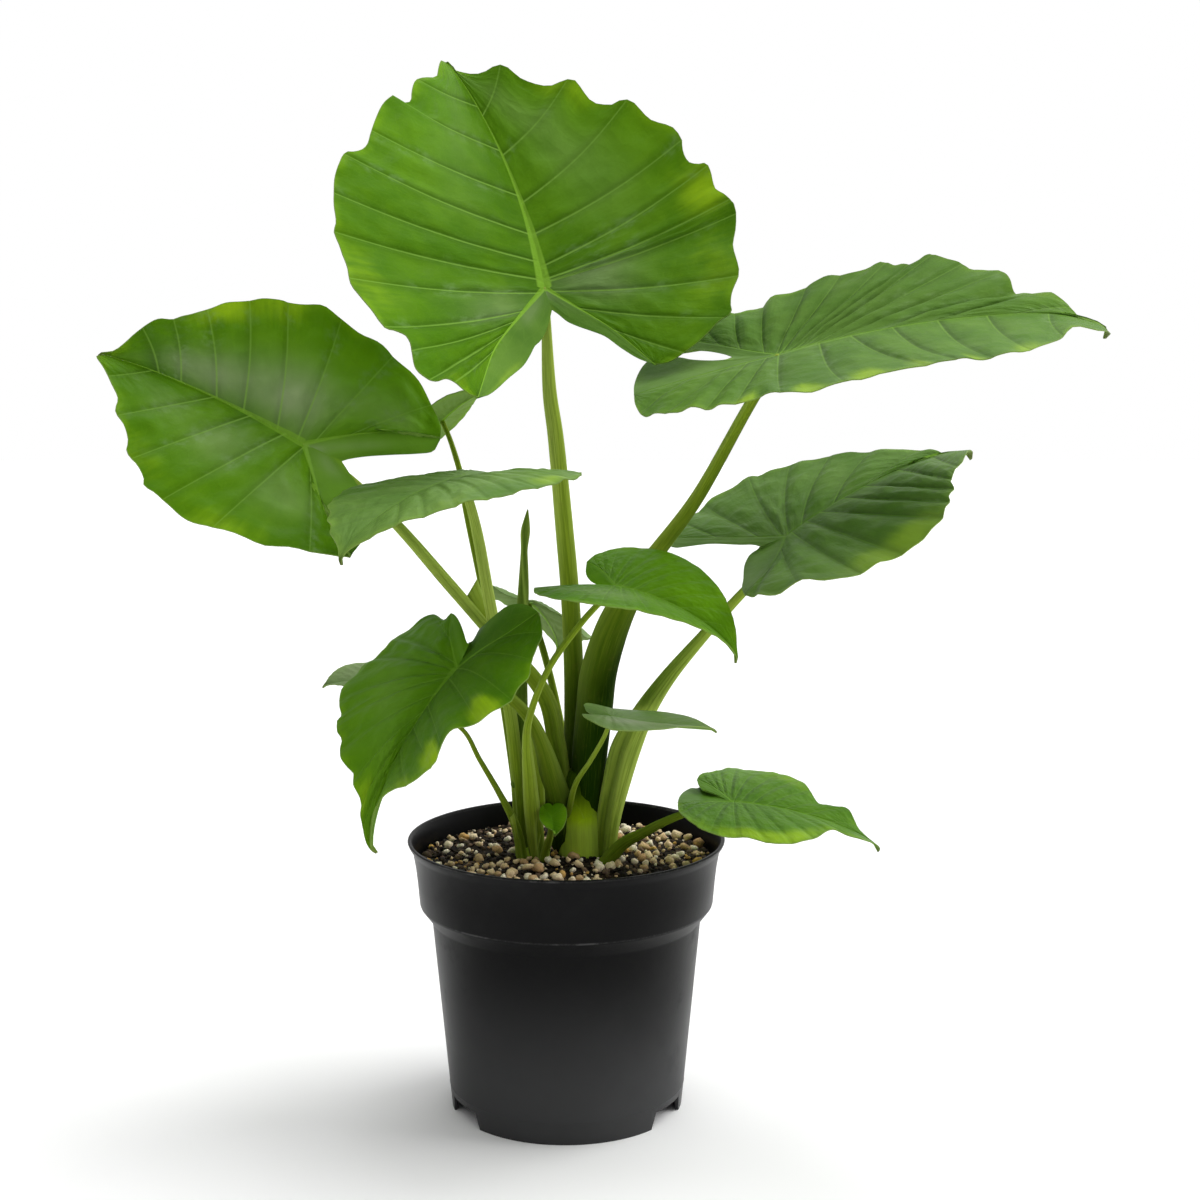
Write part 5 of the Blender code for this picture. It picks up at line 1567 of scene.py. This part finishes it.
def stalk(name):
    path = [list(p) for p in PETIOLES_MM[name]]
    blade = LEAVES[name]
    up = blade_axes(blade)[1][:, 2]         # the way its upper side faces
    foot = np.array(blade["foot"]) - up * min(2.2, path[-1][3])
    path.append([*foot, path[-1][3] * .92])
    below = np.array(path[0]) + (np.array(path[0]) - np.array(path[1])) * .35
    below[3] = path[0][3] * .9
    path.insert(0, list(below))
    line = placed(run_line(path, 70))
    towards, start, end, depth = SHEATHS.get(name, ((0, -1), 0, .01, 0))
    tints_and_shade = TINTS_AND_SHADE.get(name, (.5, .5, .5, .5))
    lit_at, lit = LIT.get(name, (0, 0))

    def opening(share):
        return depth * (1 - ease(share, end * .72, end))

    def outline(share, round_):
        groove = bell(round_, .34)
        wing = bell(round_ - .62, .17) + bell(round_ + .62, .17)
        ribs = .012 * np.cos(9 * round_) + .008 * np.cos(14 * round_ + 1)
        return 1 + opening(share) * (.26 * wing - .42 * groove) + ribs

    # where a highlight is painted, along the sheath's two ridges
    def rim(share, round_):
        return opening(share) * (bell(round_ - .64, .12) + bell(round_ + .64, .12))

    def tone(share, round_):
        light_and_shade = lit * np.cos(round_ - lit_at) * ease(share, .12, .4)
        return np.clip(np.interp(share, (0, .25, .5, 1), tints_and_shade) + light_and_shade, 0, 1.2)

    tube = wrapped("petiole_" + name + "_stalk", line, towards, outline, {
        "rim": rim,
        "deep": lambda share, round_: opening(share) * bell(round_, .4),
        "tone": tone,
    })
    if name in WINGS_MM:
        tube = joined(tube.name, [tube, wing(*WINGS_MM[name])])
    mark_flanks(tube)
    smooth(tube)
    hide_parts("petiole_" + name)
    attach(tube, "root")
    return tube


stalks = {name: stalk(name) for name in PETIOLES_MM}
print("stalks", sum(triangles(made) for made in stalks.values()), "triangles")

# %% [markdown]
# ### Stalk green
# Stalks are olive to yellow-green with fine darker streaks running along them. A highlight is
# painted along the thin edges of a sheath and painted shade down in its groove, and the sides of a
# stalk get painted light. The streaks follow the surface, so they are drawn from the tube's own
# map, round and along.

# %% Stalk finish
BRIGHT = (.42, .52, .15)
DARK_STREAK = (.040, .100, .001)
FINE_STREAK = (.34, .46, .04)
LIT_THROUGH = (.44, .56, .12)
GROOVE_SHADE = (.035, .085, .001)
STALK_EDGE_HIGHLIGHT = (.36, .50, .09)
FRECKLE = (.20, .17, .04)


def stalk_look(name, deep, pale, streaky=.5):
    look = new_look(name)
    round_, length = look.map_pair("along")
    tone = look.read("tone")
    east = look.math("COSINE", round_ * ONCE_ROUND)
    north = look.math("SINE", round_ * ONCE_ROUND)
    streak = look.noise(look.place(east * 1.6, north * 1.6, length * .9), 3.2, 4, .65)
    fine = look.noise(look.place(east * 9, north * 9, length * 2.2), 2.4, 3, .6)
    spot = look.noise(look.own_place(), 140, 3, .6)
    body = look.layered(deep, (
        (tone, pale),
        (look.step(tone, .7, 1.05) * .45, BRIGHT),
        (look.step(streak, .38, .66) * streaky * look.step(tone, 0, .3), DARK_STREAK),
        (look.step(fine, .50, .72) * .30 * (.3 + tone), FINE_STREAK),
        # painted light at the sides of a stalk
        (look.read("flank") * (.04 + .8 * tone), LIT_THROUGH),
        # painted shade down in a sheath's groove
        (look.read("deep") * .45, GROOVE_SHADE),
        # painted highlight along the thin edges of sheaths, wings and husks
        (look.step(look.read("rim"), .45, .98) * .55, STALK_EDGE_HIGHLIGHT),
        (look.step(spot, .58, .75) * .15, FRECKLE),
    ))
    look.finish(Base_Color=body, Roughness=.68 + .15 * spot, IOR=1.42, Specular_IOR_Level=.03,
                Normal=look.bump(fine * .5 + streak * .35 + spot * .15, .35))
    return look.owner


stalk_green = stalk_look("stalk green", (.009, .032, .0004), (.33, .46, .030))
for made in stalks.values():
    coat(made, stalk_green)

# %% [markdown]
# ## The stem
# The short stem is wrapped in the bases of old leaves. Its core is a tube like the stalks, swollen
# near the soil. Over it lie pointed husks: sheets wrapped part of the way round, each a little
# proud of the one below and thinning to its edges.

# %% Stem cores
STEMS_MM = {
    "stem_main": ((8.5, 2.0), [(0, 117), (6.5, 118.5), (11, 126), (13, 140), (13.5, 154),
                               (13.3, 168), (12.6, 181), (11.6, 193), (10.4, 202), (7, 207),
                               (0, 208)]),
    "stem_left": ((-21.5, -4.5), [(0, 127), (5, 128.5), (7.6, 134), (8.2, 145), (7.8, 154),
                                  (5.5, 159.5), (0, 160.5)]),
}


def stem_radius(name, z):
    profile = np.array(STEMS_MM[name][1], float)
    return np.interp(z, profile[:, 1], profile[:, 0]) * MM


def stem_tone(name, z):
    """Bright at the soil, and for the tall stem deep green above, which is partly painted shade
    under the leaves.
    """
    return 1 - (.95 if name == "stem_main" else .2) * ease(z, 168, 197)


def core(name):
    (x, y), profile = STEMS_MM[name]
    line = run_line([(x, y, z, max(r, 1)) for r, z in profile], 40)
    line = line[np.concatenate([[True], np.diff(line[:, 2]) > .05])]
    foot, top = profile[0][1], profile[-1][1]

    def ribs(share, round_):
        return 1 + .012 * np.cos(7 * round_ + 3 * share) + .008 * np.cos(13 * round_)

    return wrapped(name + "_core", placed(line), (0, -1), ribs, {
        "rim": lambda share, round_: 0,
        "deep": lambda share, round_: 0,
        "tone": lambda share, round_: stem_tone(name, top * share + foot * (1 - share)),
    })


def husk(stem, facing_turn, half_width, low, high, proud, lean=0.0):
    """A pointed sheet round a stem, from low to high mm, its middle at facing_turn."""
    (x, y), profile = STEMS_MM[stem]
    up, across = np.linspace(0, 1, 26)[:, None], np.linspace(-1, 1, 21)[None]
    wide = half_width * np.sqrt(1 - up ** 4) + .02
    turn = facing_turn + across * wide + lean * up
    z = low + (high - low) * up + 0 * across
    radius = stem_radius(stem, z) + proud * MM * (.5 + .5 * up) * (1 - .7 * np.abs(across) ** 3)
    points = np.stack([x * MM + radius * np.cos(turn), y * MM + radius * np.sin(turn), z * MM],
                      -1) + TO_ORIGIN
    uv = (turn / ONCE_ROUND, up * (high - low) * MM * 10)
    # a highlight is painted along the husk's sides and tip
    edge = np.clip((np.abs(across) - .82) / .18, 0, 1) + ease(up, .9, 1)
    sheet = patch("husk", points, {"rim": np.clip(edge, 0, 1) * .55, "deep": 0,
                                   "tone": stem_tone(stem, z)}, {"along": uv})
    facing(sheet, (math.cos(facing_turn), math.sin(facing_turn), 0))
    apply_modifier(sheet, "SOLIDIFY", thickness=.0006, offset=-1)
    return sheet


HUSKS = {
    "stem_main": [(-2.5, 1.2, 124, 190, .5, .3), (-1.3, 1.3, 124, 181, .9, .3),
                  (.4, 1.1, 124, 186, .7, .1),
                  (1.9, 1.1, 124, 192, .7, -.1)],
    "stem_left": [(-2.3, .9, 132, 163, .5, .2), (-.6, .9, 132, 166, .8, -.1),
                  (1.5, 1.1, 132, 164, .6, 0)],
}
stem_green = stalk_look("stem green", (.012, .040, .0006), (.56, .84, .015), .15)
for name in STEMS_MM:
    stem = joined(name + "_base", [core(name)] + [husk(name, *sizes) for sizes in HUSKS[name]])
    coat(stem, stem_green)
    mark_flanks(stem)
    smooth(stem, 50)
    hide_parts(name)
    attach(stem, "root")
    print(stem.name, triangles(stem), "triangles")

# %% [markdown]
# ## The new leaf
# One leaf is still rolled up like a furled umbrella. Its edge shows as a step that winds slowly up
# the spear, so the ring's radius grows once round and drops at the edge, and the drop moves round
# with height.

# %% Rolled leaf
ROLL_TURNS = .9
path = np.array(SPEAR_MM)
below = path[0] + (path[0] - path[1]) * .5
line = placed(run_line([below, *path], 90))


def roll_phase(share, round_):
    phase = round_ / (ONCE_ROUND) + ROLL_TURNS * share + .25
    return phase - np.floor(phase)


def rolled_ring(share, round_):
    phase = roll_phase(share, round_)
    return .90 + .20 * phase ** 1.2 * ease(phase, 1, .93)


spear = wrapped("new_leaf_roll", line, (0, -1),
                rolled_ring,
                # a highlight painted along the rolled edge, and painted shade just below its step
                {"rim": lambda share, round_: bell(roll_phase(share, round_) - .91, .06),
                 "deep": lambda share, round_: bell(roll_phase(share, round_) - .02, .06),
                 "tone": lambda share, round_: .25 + .25 * share})
coat(spear, stalk_look("rolled leaf green", (.050, .11, .008), (.21, .30, .05)))
mark_flanks(spear)
smooth(spear)
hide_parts("spear")
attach(spear, "root")
print("rolled leaf", triangles(spear), "triangles")
